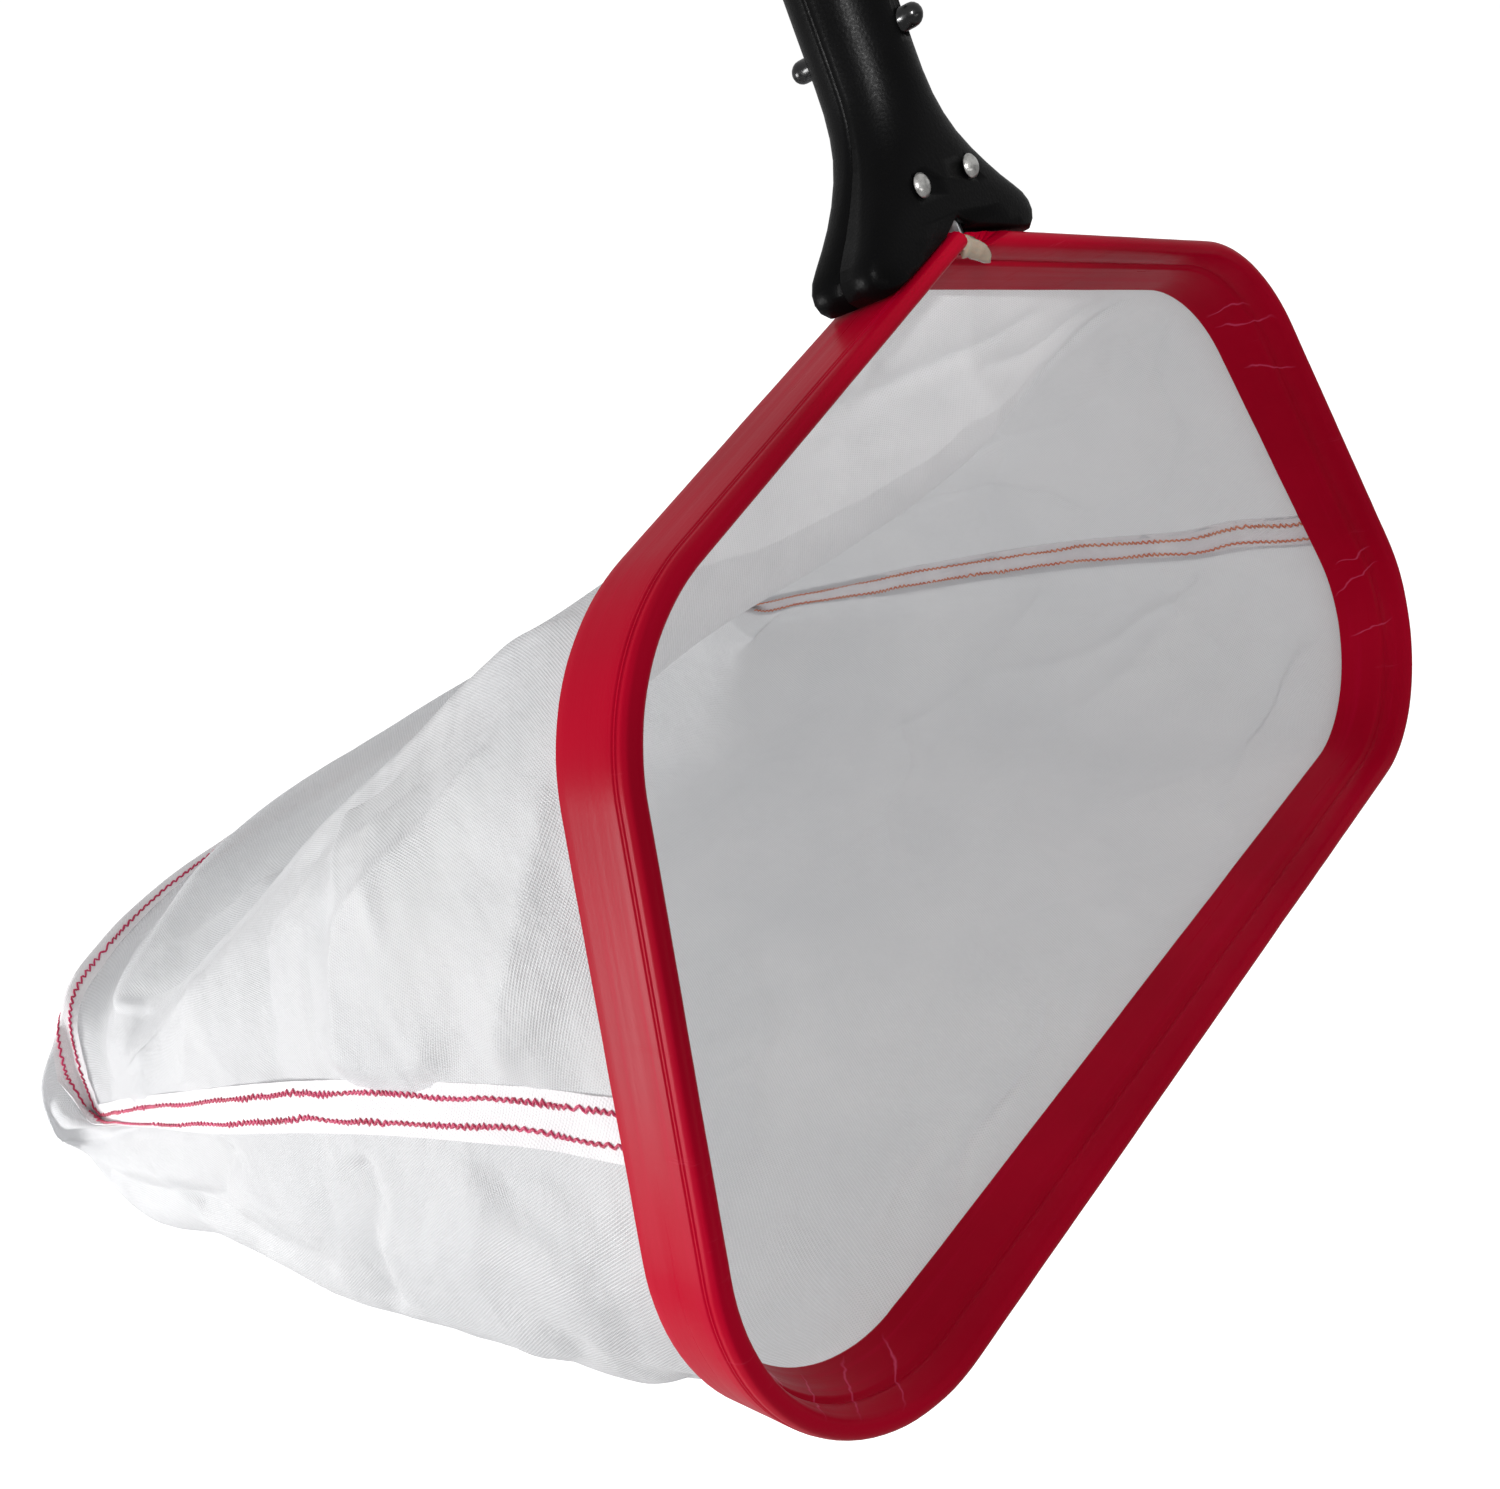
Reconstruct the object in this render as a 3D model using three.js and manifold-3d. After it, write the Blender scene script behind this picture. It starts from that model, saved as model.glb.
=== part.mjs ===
// Leaf skimmer net: pentagonal mouth frame with a bag of fine mesh, held by a
// two-piece yoke whose tubular plug slides into a pole and locks with two
// sprung snap buttons.
//
// Units are millimetres, +Z points up the plug towards the pole, +Y points
// from the mouth plane back into the bag, +X is across the mouth.
// The origin is on the plug's axis at the height of the two snap buttons.
// Frame, lip and bag are drawn in "mouth" coordinates: y = 0 at the front of
// the lip, z = 0 at the outer face of the leading edge.

import * as THREE from 'three';
import { mergeVertices } from 'three/addons/utils/BufferGeometryUtils.js';
import Module from 'manifold-3d';

const wasm = await Module();
wasm.setup();

// ---------------------------------------------------------------- dimensions
// Outer outline of the mouth, sharp corners before rounding.
const APEX_Z = 285.5;          // height of the apex above the leading edge
const SHOULDER_X = 184;        // half width at the shoulders
const SHOULDER_Z = 234.1;      // height of the shoulders
const BASE_X = 261;            // half width at the leading edge
const SHOULDER_R = 72;         // outer rounding of the shoulders
const BASE_R = 67;             // outer rounding of the two lower corners
const LIP_DEPTH = 29;          // depth of the lip, front to back
const LIP_GAP_X = 8.2;         // half gap between the two lip ends at the apex

// Plug and yoke.
const PLUG_R = 15.5;           // plug outer radius
const PLUG_BORE_R = 12.3;      // plug inner radius
const PLUG_TOP = 70;           // plug end above the button axis
const BORE_FLOOR = -18;        // bottom of the bore
const BUTTON_Z = 344;          // button axis above the leading edge
const PLUG_Y = 15.5;           // plug axis behind the mouth plane
const SPLIT_GAP = 0.3;         // gap at the parting plane of the yoke halves
const RIVET_X = 13.2;          // rivets either side of the middle
const RIVET_Z = 300;           // rivets above the leading edge
const RIVET_R = 2.4;           // rivet shank radius
const RIVET_HEAD_R = 3.7;      // rivet head radius

// Aluminium band inside the lip.
const CORE_IN = 1.95;          // outer side of the band, inside the lip face
const CORE_T = 2.05;           // band thickness
const CORE_Y0 = 6.0;           // band front edge
const CORE_Y1 = 27.5;          // band back edge
const TAB_X = 6.1;             // centre of the turned-up ends
const HOOK_Z = 307.6;          // hook above the rivets
const HOOK_X = 16.5;           // hook tip
const TAB_Y0 = 7.0;            // the turned-up ends are a little narrower
const TAB_Y1 = 24.5;

// Bag.
const HEM_IN = 4.5;            // hem binding, outer side
const HEM_T = 0.7;
const BAG_IN = 5.9;            // mesh mid surface inside the lip
const BAG_T = 0.6;             // stand-in thickness of the mesh
const SEAM_LEFT_Z = 118;       // side seam height where it meets the lip
const SEAM_RIGHT_Z = 102;
const TAPE_HALF = 8;           // half width of the seam tape
const STITCH_AT = 4.2;         // stitch rows either side of the seam line
const STITCH_W = 1.4;
const BAG_DEPTH = 400;         // y of the end seam

// Snap-button clip.
const BUTTON_AZ = -72;         // degrees, direction of the front button
const BUTTON_R = 3.4;
const BUTTON_TIP = 21.6;       // button tip from the plug axis
const LEG_MID = 9.8;           // spring leg from the plug axis
const LEG_T = 0.8;
const LEG_W = 7;
const LEG_TOP = 54.7;
const LEG_BOTTOM = -6;

// ---------------------------------------------------------------- materials
const mat = (color, roughness, metalness) =>
  new THREE.MeshStandardMaterial({ color, roughness, metalness });
const M = {
  nylon: mat(0x0b0b0c, 0.32, 0.0),
  rivet: mat(0xb9b9b6, 0.3, 1.0),
  band: mat(0xb4b6b8, 0.45, 1.0),
  lip: mat(0xb3122c, 0.33, 0.0),
  sealant: mat(0xb9ab97, 0.25, 0.0),
  hem: mat(0xb9a897, 0.85, 0.0),
  mesh: mat(0xdfe0e2, 0.6, 0.0),
  tape: mat(0xf4f2f2, 0.8, 0.0),
  thread: mat(0xb5204a, 0.7, 0.0),
  spring: mat(0x9a9c9e, 0.35, 1.0),
  button: mat(0x0a0a0a, 0.22, 0.0),
};

// ---------------------------------------------------------------- helpers
const root = new THREE.Group();
const mouth = new THREE.Group();         // mouth coordinates
mouth.position.set(0, -PLUG_Y, -BUTTON_Z);
root.add(mouth);

function addTo(group, name, geometry, material) {
  const m = new THREE.Mesh(geometry, material);
  m.name = name;
  group.add(m);
  return m;
}

function clean(geometry) {
  const g = geometry.index ? geometry.clone() : geometry.clone();
  g.deleteAttribute('normal');
  g.deleteAttribute('uv');
  return mergeVertices(g, 1e-4);
}

function solid(geometry) {
  const g = clean(geometry);
  const mesh = new wasm.Mesh({
    numProp: 3,
    vertProperties: new Float32Array(g.attributes.position.array),
    triVerts: new Uint32Array(g.index.array),
  });
  mesh.merge?.();
  return new wasm.Manifold(mesh);
}

function fromSolid(s) {
  const m = s.getMesh();
  const g = new THREE.BufferGeometry();
  const n = m.numProp;
  const pos = new Float32Array((m.vertProperties.length / n) * 3);
  for (let i = 0; i < m.vertProperties.length / n; i++) {
    pos[3 * i] = m.vertProperties[n * i];
    pos[3 * i + 1] = m.vertProperties[n * i + 1];
    pos[3 * i + 2] = m.vertProperties[n * i + 2];
  }
  g.setAttribute('position', new THREE.BufferAttribute(pos, 3));
  g.setIndex(Array.from(m.triVerts));
  g.computeVertexNormals();
  return g;
}

function box(x0, x1, y0, y1, z0, z1) {
  const g = new THREE.BoxGeometry(x1 - x0, y1 - y0, z1 - z0);
  g.translate((x0 + x1) / 2, (y0 + y1) / 2, (z0 + z1) / 2);
  return g;
}

// Cylinder along Y or Z, or along any direction.
function cyl(r, a, b, seg = 24) {
  const A = new THREE.Vector3(...a), B = new THREE.Vector3(...b);
  const d = B.clone().sub(A);
  const g = new THREE.CylinderGeometry(r, r, d.length(), seg);
  g.applyQuaternion(new THREE.Quaternion().setFromUnitVectors(
    new THREE.Vector3(0, 1, 0), d.clone().normalize()));
  const c = A.clone().add(B).multiplyScalar(0.5);
  g.translate(c.x, c.y, c.z);
  return g;
}

// Closed tube of rings: rings[i] is a closed loop of points of equal length,
// capped flat at both ends.
function loft(rings, closed = false) {
  const n = rings[0].length;
  const pos = [];
  for (const r of rings) for (const p of r) pos.push(p[0], p[1], p[2]);
  const idx = [];
  const m = rings.length;
  const lim = closed ? m : m - 1;
  for (let i = 0; i < lim; i++) {
    const i2 = (i + 1) % m;
    for (let j = 0; j < n; j++) {
      const k = (j + 1) % n;
      const a = i * n + j, b = i * n + k, c = i2 * n + k, d = i2 * n + j;
      idx.push(a, b, c, a, c, d);
    }
  }
  if (!closed) {
    for (const [base, flip] of [[0, true], [(m - 1) * n, false]]) {
      const ring = base === 0 ? rings[0] : rings[m - 1];
      const tri = capTriangles(ring);
      for (const [a, b, c] of tri) {
        if (flip) idx.push(base + a, base + c, base + b);
        else idx.push(base + a, base + b, base + c);
      }
    }
  }
  const g = new THREE.BufferGeometry();
  g.setAttribute('position', new THREE.Float32BufferAttribute(pos, 3));
  g.setIndex(idx);
  return orientOut(g);
}

// Triangulate a planar ring of points in its own plane.
function capTriangles(ring) {
  const v = ring.map((p) => new THREE.Vector3(...p));
  const nrm = new THREE.Vector3();
  for (let i = 0; i < v.length; i++) {
    const a = v[i], b = v[(i + 1) % v.length];
    nrm.x += (a.y - b.y) * (a.z + b.z);
    nrm.y += (a.z - b.z) * (a.x + b.x);
    nrm.z += (a.x - b.x) * (a.y + b.y);
  }
  nrm.normalize();
  const ref = Math.abs(nrm.z) < 0.9 ? new THREE.Vector3(0, 0, 1) : new THREE.Vector3(1, 0, 0);
  const e1 = ref.clone().cross(nrm).normalize();
  const e2 = nrm.clone().cross(e1);
  const pts = v.map((p) => new THREE.Vector2(p.dot(e1), p.dot(e2)));
  return THREE.ShapeUtils.triangulateShape(pts, []);
}

function signedVolume(g) {
  const p = g.attributes.position.array, ix = g.index.array;
  let V = 0;
  for (let i = 0; i < ix.length; i += 3) {
    const a = 3 * ix[i], b = 3 * ix[i + 1], c = 3 * ix[i + 2];
    V += p[a] * (p[b + 1] * p[c + 2] - p[b + 2] * p[c + 1])
       - p[a + 1] * (p[b] * p[c + 2] - p[b + 2] * p[c])
       + p[a + 2] * (p[b] * p[c + 1] - p[b + 1] * p[c]);
  }
  return V / 6;
}

function orientOut(g) {
  if (signedVolume(g) < 0) {
    const ix = Array.from(g.index.array);
    for (let i = 0; i < ix.length; i += 3) [ix[i + 1], ix[i + 2]] = [ix[i + 2], ix[i + 1]];
    g.setIndex(ix);
  }
  g.computeVertexNormals();
  return g;
}

// Thin closed shell around a grid of mid-surface points grid[row][col].
function shell(grid, t, shift = 0, wrap = false) {
  const R = grid.length, C = grid[0].length;
  const nr = grid.map((row) => row.map(() => new THREE.Vector3()));
  const P = grid.map((row) => row.map((p) => new THREE.Vector3(...p)));
  const cells = [];
  const rl = wrap ? R : R - 1;
  for (let i = 0; i < rl; i++) for (let j = 0; j < C - 1; j++) {
    const i2 = (i + 1) % R;
    const a = P[i][j], b = P[i][j + 1], c = P[i2][j + 1], d = P[i2][j];
    const n = c.clone().sub(a).cross(d.clone().sub(b));
    for (const [r, q] of [[i, j], [i, j + 1], [i2, j + 1], [i2, j]]) nr[r][q].add(n);
    cells.push([i, j, i2]);
  }
  const pos = [], id = (s, i, j) => s * R * C + i * C + j;
  for (const s of [1, -1]) for (let i = 0; i < R; i++) for (let j = 0; j < C; j++) {
    const n = nr[i][j].clone().normalize();
    const p = P[i][j].clone().addScaledVector(n, shift + s * t / 2);
    pos.push(p.x, p.y, p.z);
  }
  const idx = [];
  const quad = (a, b, c, d) => idx.push(a, b, c, a, c, d);
  for (const [i, j, i2] of cells) {
    quad(id(0, i, j), id(0, i, j + 1), id(0, i2, j + 1), id(0, i2, j));
    quad(id(1, i, j), id(1, i2, j), id(1, i2, j + 1), id(1, i, j + 1));
  }
  for (let i = 0; i < rl; i++) {
    const i2 = (i + 1) % R;
    quad(id(0, i2, 0), id(1, i2, 0), id(1, i, 0), id(0, i, 0));
    quad(id(0, i, C - 1), id(1, i, C - 1), id(1, i2, C - 1), id(0, i2, C - 1));
  }
  if (!wrap) for (let j = 0; j < C - 1; j++) {
    quad(id(0, 0, j), id(1, 0, j), id(1, 0, j + 1), id(0, 0, j + 1));
    quad(id(0, R - 1, j + 1), id(1, R - 1, j + 1), id(1, R - 1, j), id(0, R - 1, j));
  }
  const g = new THREE.BufferGeometry();
  g.setAttribute('position', new THREE.Float32BufferAttribute(pos, 3));
  g.setIndex(idx);
  return orientOut(g);
}

// ---------------------------------------------------------------- outline
// Right half of the outer outline from the apex to the middle of the leading
// edge, as straight runs and arcs. n is the inward normal.
function segments() {
  const A = new THREE.Vector2(0, APEX_Z), B = new THREE.Vector2(SHOULDER_X, SHOULDER_Z);
  const C = new THREE.Vector2(BASE_X, 0), D = new THREE.Vector2(0, 0);
  const out = [];
  const dir = (p, q) => q.clone().sub(p).normalize();
  let from = A;
  for (const [P, Q, N, r] of [[A, B, C, SHOULDER_R], [B, C, D, BASE_R]]) {
    const d1 = dir(P, Q), d2 = dir(Q, N);
    const turn = Math.acos(d1.dot(d2));
    const L = r * Math.tan(turn / 2);
    const s = Q.clone().addScaledVector(d1, -L);
    const n1 = new THREE.Vector2(d1.y, -d1.x);
    const c = s.clone().addScaledVector(n1, r);
    out.push({ kind: 'line', a: from, b: s, n: n1, len: from.distanceTo(s) });
    out.push({ kind: 'arc', c, r, start: Math.atan2(-n1.y, -n1.x), turn, len: r * turn });
    from = Q.clone().addScaledVector(d2, L);
  }
  const d = dir(from, D);
  out.push({ kind: 'line', a: from, b: D, n: new THREE.Vector2(d.y, -d.x), len: from.distanceTo(D) });
  return out;
}
const SEG = segments();
const HALF_LEN = SEG.reduce((t, s) => t + s.len, 0);
const APEX_MITRE = 1 / Math.cos(Math.atan2(APEX_Z - SHOULDER_Z, SHOULDER_X));

// Point and inward normal at distance s from the apex; negative is the left
// side.
function outlineAt(s) {
  const left = s < 0;
  let t = Math.abs(s);
  if (t < 1e-4) return { x: 0, z: APEX_Z, nx: 0, nz: -APEX_MITRE };
  let r = null;
  for (const g of SEG) {
    if (t <= g.len + 1e-9 || g === SEG[SEG.length - 1]) {
      if (g.kind === 'line') {
        const k = t / g.len;
        r = { x: g.a.x + (g.b.x - g.a.x) * k, z: g.a.y + (g.b.y - g.a.y) * k, nx: g.n.x, nz: g.n.y };
      } else {
        const a = g.start - g.turn * (t / g.len);
        r = { x: g.c.x + g.r * Math.cos(a), z: g.c.y + g.r * Math.sin(a), nx: -Math.cos(a), nz: -Math.sin(a) };
      }
      break;
    }
    t -= g.len;
  }
  if (left) { r.x = -r.x; r.nx = -r.nx; }
  return r;
}

// Distances of the shared stations on the right half, apex to middle of base.
function stationList() {
  const out = [];
  let s0 = 0;
  const counts = [4, 7, 4, 9, 5];
  SEG.forEach((g, i) => {
    for (let k = 1; k <= counts[i]; k++) out.push(s0 + (g.len * k) / counts[i]);
    s0 += g.len;
  });
  return out;
}
const STATIONS = stationList();
function sideAtZ(z) {              // distance from the apex at height z on the side
  const pre = SEG[0].len + SEG[1].len, g = SEG[2];
  return pre + (g.a.y - z) / (g.a.y - g.b.y) * g.len;
}
const S_LEFT = -sideAtZ(SEAM_LEFT_Z);
const S_RIGHT = sideAtZ(SEAM_RIGHT_Z);
const off = (s, o, y) => {
  const q = outlineAt(s);
  return [q.x + q.nx * o, y, q.z + q.nz * o];
};

// ---------------------------------------------------------------- lip
// Section of the lip as [inset, y]: flat outer wall, rounded nose with two
// fine ridges, bead, groove, and an inner skirt that flares towards the bag.
// A slot open to the back holds the aluminium band and the hem.
const LIP_SECTION = [
  [0, LIP_DEPTH], [0, 6.2], [0.28, 5.7], [0.05, 5.1], [0.35, 4.6], [0.3, 3.0],
  [1.2, 1.1], [2.6, 0.2], [4.4, 0.15], [5.7, 1.1], [6.3, 2.8],
  [7.0, 6.5], [7.2, 9.6], [6.9, 11.1], [8.4, 12.0],
  [11.3, 28.3], [11.0, LIP_DEPTH], [9.5, LIP_DEPTH],
  [6.65, 13.0], [4.35, 9.5], [4.35, 5.6], [1.6, 5.6], [1.6, LIP_DEPTH],
];
const apexCut = LIP_GAP_X / Math.cos(Math.atan2(APEX_Z - SHOULDER_Z, SHOULDER_X));
const LIP_S = [apexCut, ...STATIONS];
const lipPath = [...LIP_S, ...LIP_S.slice(0, -1).reverse().map((s) => -s)];
addTo(mouth, 'lip_extrusion', loft(lipPath.map((s) => LIP_SECTION.map(([o, y]) => off(s, o, y)))), M.lip);

// ---------------------------------------------------------------- band
// One aluminium strip bent round the mouth; its two ends turn up into the
// yoke and hook outwards over the rivets.
function bandSide(o) {
  const pts = [];
  const k = (APEX_Z - SHOULDER_Z) / SHOULDER_X;
  const zAt = (x, oo) => APEX_Z - oo * APEX_MITRE - k * x;
  const inner = o > CORE_IN + CORE_T / 2;
  // inner side of the strip is the outer side of the tab and of the hook
  const xt = TAB_X + (inner ? -CORE_T / 2 : CORE_T / 2);
  const zh = HOOK_Z + (inner ? CORE_T / 2 : -CORE_T / 2);
  pts.push([HOOK_X, zh], [xt, zh], [xt, zAt(xt, o)]);
  for (const s of STATIONS) {
    const q = outlineAt(s);
    pts.push([q.x + q.nx * o, q.z + q.nz * o]);
  }
  return pts;
}
{
  const a = bandSide(CORE_IN), b = bandSide(CORE_IN + CORE_T);
  const mir = (l) => l.slice(0, -1).reverse().map(([x, z]) => [-x, z]);
  const outer = [...a, ...mir(a)], inner = [...b, ...mir(b)];
  const n = outer.length;
  addTo(mouth, 'frame_band', loft(outer.map((p, i) => {
    const tab = i < 2 || i > n - 3;
    const y0 = tab ? TAB_Y0 : CORE_Y0, y1 = tab ? TAB_Y1 : CORE_Y1;
    return [[p[0], y0, p[1]], [p[0], y1, p[1]], [inner[i][0], y1, inner[i][1]], [inner[i][0], y0, inner[i][1]]];
  })), M.band);
}

// ---------------------------------------------------------------- hem
// Folded binding round the whole mouth, caught between band and skirt.
{
  const ring = [0, ...STATIONS, ...STATIONS.slice(0, -1).reverse().map((s) => -s)];
  addTo(mouth, 'hem_binding', loft(ring.map((s) => [
    off(s, HEM_IN, 13.6), off(s, HEM_IN, 27.2), off(s, HEM_IN + HEM_T, 27.2), off(s, HEM_IN + HEM_T, 13.6),
  ]), true), M.hem);
}

// ---------------------------------------------------------------- bag shape
// Control rows from the mouth to the end seam; nine columns from the left
// seam over to the right seam, for the top panel and for the bottom panel.
const ROW_Y = [29, 60, 95, 150, 220, 300, 360, 385, 400];
const LEFT_SEAM = [[-216, 118], [-219, 117], [-224, 116], [-231, 113], [-240, 106], [-250, 95], [-257, 86], [-259, 81], [-260, 79]];
const RIGHT_SEAM = [[228, 102], [231, 101], [232, 99], [236, 103], [234, 107], [228, 109], [224, 110], [221.5, 110.7], [220, 111]];
const TOP_NET = [
  [[-203, 170], [-158, 240], [-88, 258], [0, 281], [88, 258], [158, 240], [206, 162]],
  [[-207, 176], [-158, 236], [-90, 234], [0, 243], [95, 228], [165, 228], [212, 160]],
  [[-210, 174], [-160, 226], [-94, 212], [0, 206], [98, 200], [168, 212], [215, 155]],
  [[-214, 166], [-162, 207], [-100, 180], [0, 183], [100, 184], [172, 192], [218, 148]],
  [[-222, 148], [-176, 182], [-112, 166], [0, 174], [105, 172], [175, 176], [216, 142]],
  [[-235, 124], [-200, 146], [-132, 152], [-20, 168], [100, 168], [172, 164], [211, 139]],
  [[-248, 104], [-224, 126], [-160, 152], [-40, 167], [92, 166], [165, 160], [205, 136]],
  [[-251, 98], [-234, 130], [-167, 160], [-46, 168], [88, 166], [157, 159], [201, 137]],
  [[-255, 108], [-236, 144], [-170, 166], [-50, 168], [85, 166], [150, 158], [198, 138]],
];
const BOTTOM_NET = [
  [[-236, 60], [-225, 12], [-110, 7], [0, 7], [110, 7], [225, 12], [240, 55]],
  [[-239, 62], [-226, 16], [-110, 5], [0, 4], [110, 6], [224, 18], [241, 58]],
  [[-242, 66], [-233, 22], [-115, 7], [0, 5], [112, 10], [217, 26], [241, 62]],
  [[-248, 66], [-240, 24], [-118, 10], [0, 8], [110, 16], [207, 34], [238, 68]],
  [[-254, 64], [-249, 26], [-125, 14], [0, 14], [105, 24], [199, 43], [234, 76]],
  [[-261, 62], [-256, 33], [-140, 24], [-10, 26], [95, 38], [190, 56], [227, 84]],
  [[-268, 66], [-266, 48], [-160, 50], [-30, 56], [80, 66], [180, 76], [222, 92]],
  [[-267, 84], [-260, 92], [-172, 104], [-34, 108], [84, 114], [178, 116], [214, 98]],
  [[-258, 104], [-245, 136], [-175, 165], [-40, 168], [85, 166], [150, 158], [198, 138]],
];
const END_SEAM = [[-260, 79], [-253, 112], [-240, 140], [-215, 156], [-186, 165], [-150, 168], [-90, 168],
  [-20, 168], [60, 167], [120, 163], [165, 152], [200, 134], [220, 111]];

// Piecewise cubic through values at knots.
function cubic(knots, vals, t) {
  const n = knots.length;
  let i = 0;
  while (i < n - 2 && t > knots[i + 1]) i++;
  const h = knots[i + 1] - knots[i];
  const slope = (k) => {
    if (k <= 0) return (vals[1] - vals[0]) / (knots[1] - knots[0]);
    if (k >= n - 1) return (vals[n - 1] - vals[n - 2]) / (knots[n - 1] - knots[n - 2]);
    const a = (vals[k] - vals[k - 1]) / (knots[k] - knots[k - 1]);
    const b = (vals[k + 1] - vals[k]) / (knots[k + 1] - knots[k]);
    const ha = knots[k] - knots[k - 1], hb = knots[k + 1] - knots[k];
    return (a * hb + b * ha) / (ha + hb);
  };
  const u = (t - knots[i]) / h, m0 = slope(i) * h, m1 = slope(i + 1) * h;
  const u2 = u * u, u3 = u2 * u;
  return (2 * u3 - 3 * u2 + 1) * vals[i] + (u3 - 2 * u2 + u) * m0 + (-2 * u3 + 3 * u2) * vals[i + 1] + (u3 - u2) * m1;
}
const smooth = (t) => { const k = Math.min(1, Math.max(0, t)); return k * k * (3 - 2 * k); };

const endKnots = (() => {
  const k = [0];
  for (let i = 1; i < END_SEAM.length; i++) {
    k.push(k[i - 1] + Math.hypot(END_SEAM[i][0] - END_SEAM[i - 1][0], END_SEAM[i][1] - END_SEAM[i - 1][1]));
  }
  return k.map((v) => v / k[k.length - 1]);
})();
const endAt = (w) => [cubic(endKnots, END_SEAM.map((p) => p[0]), w), BAG_DEPTH, cubic(endKnots, END_SEAM.map((p) => p[1]), w)];

// s0, s1: distances from the apex of the panel's two mouth corners, going
// over the top or round the base.
const BULGE_V = [0, 0.45, 0.62, 0.75, 0.85, 0.9, 0.95, 0.98, 1];
const BULGE_Y = [0, 0, 4, 18, 38, 41, 28, 13, 0];
function panel(net, mouthAt, len, bulge) {
  const full = net.map((row, i) => [LEFT_SEAM[i], ...row, RIGHT_SEAM[i]]);
  const knots = full[0].map(([x, z], k) => {
    if (k === 0) return 0;
    if (k === full[0].length - 1) return 1;
    let best = 0, bd = 1e9;
    for (let q = 1; q < 400; q++) {
      const p = mouthAt(q / 400, 5.9, 29);
      const d = (p[0] - x) ** 2 + (p[2] - z) ** 2;
      if (d < bd) { bd = d; best = q / 400; }
    }
    return best;
  });
  const vk = ROW_Y.map((y) => (y - ROW_Y[0]) / (BAG_DEPTH - ROW_Y[0]));
  const raw = (u, v) => {
    const xs = full.map((row) => cubic(knots, row.map((p) => p[0]), u));
    const zs = full.map((row) => cubic(knots, row.map((p) => p[1]), u));
    return [cubic(vk, xs, v), ROW_Y[0] + (BAG_DEPTH - ROW_Y[0]) * v, cubic(vk, zs, v)];
  };
  return (u, v) => {
    const p = raw(u, v), m0 = raw(u, 0), e0 = raw(u, 1);
    const m = mouthAt(u, BAG_IN, 29.4), e = endAt(u);
    const a = 1 - smooth(v / 0.14), b = smooth((v - 0.93) / 0.07);
    const edge = smooth(u / 0.07) * smooth((1 - u) / 0.07);
    return [
      p[0] + (m[0] - m0[0]) * a + (e[0] - e0[0]) * b,
      p[1] + (m[1] - m0[1]) * a + bulge * edge * cubic(BULGE_V, BULGE_Y, v),
      p[2] + (m[2] - m0[2]) * a + (e[2] - e0[2]) * b,
    ];
  };
}
const topLen = S_RIGHT - S_LEFT;
const botLen = 2 * HALF_LEN - topLen;
const topMouth = (u, o, y) => off(S_LEFT + topLen * u, o, y);
const botS = (u) => {            // from the left seam down and round to the right seam
  const s = S_LEFT - botLen * u;
  return s < -HALF_LEN ? s + 2 * HALF_LEN : s;
};
const botMouth = (u, o, y) => off(botS(u), o, y);
const TOP = panel(TOP_NET, topMouth, topLen, 0);
const BOT = panel(BOTTOM_NET, botMouth, botLen, 1);

// Mouth positions of shared stations as panel parameters.
const allS = [...STATIONS, 0, ...STATIONS.map((s) => -s)];
const topU = [...new Set(allS.filter((s) => s > S_LEFT + 12 && s < S_RIGHT - 12).map((s) => +((s - S_LEFT) / topLen).toFixed(9)))].sort((a, b) => a - b);
const botU = [...new Set(allS.map((s) => {
  let d = S_LEFT - s;            // distance travelled downwards from the left seam
  if (d < 0) d += 2 * HALF_LEN;
  return +(d / botLen).toFixed(9);
}).filter((u) => u > 12 / botLen && u < 1 - 12 / botLen))].sort((a, b) => a - b);
const tu = TAPE_HALF / topLen, bu = TAPE_HALF / botLen;
const eps = 0.5;
const vEnd = 1 - TAPE_HALF / (BAG_DEPTH - 29);
const vRows = [0, 0.035, 0.08, 0.14, 0.22, 0.32, 0.44, 0.57, 0.7, 0.8, 0.87, 0.93];
const vPanelEnd = (side) => vEnd - (side > 1 ? 3.6 : 1.2) / (BAG_DEPTH - 29);

function panelGrid(F, mouthAt, us, edgeU, len, side) {
  const cols = [edgeU + side / len, ...us, 1 - edgeU - side / len];
  const rows = [];
  rows.push(cols.map((u) => mouthAt(u, BAG_IN, 14.2)));
  for (const v of [...vRows, vPanelEnd(side)]) {
    const m = (v > 0.9 && side > 1 ? 4.2 : side) / len;     // more room at the two end corners
    rows.push([edgeU + m, ...us, 1 - edgeU - m].map((u) => F(u, v)));
  }
  return rows;
}
addTo(mouth, 'bag_top_panel', shell(panelGrid(TOP, topMouth, topU, tu, topLen, eps), BAG_T), M.mesh);
addTo(mouth, 'bag_bottom_panel', shell(panelGrid(BOT, botMouth, botU, bu, botLen, 1.4), BAG_T), M.mesh);

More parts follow.
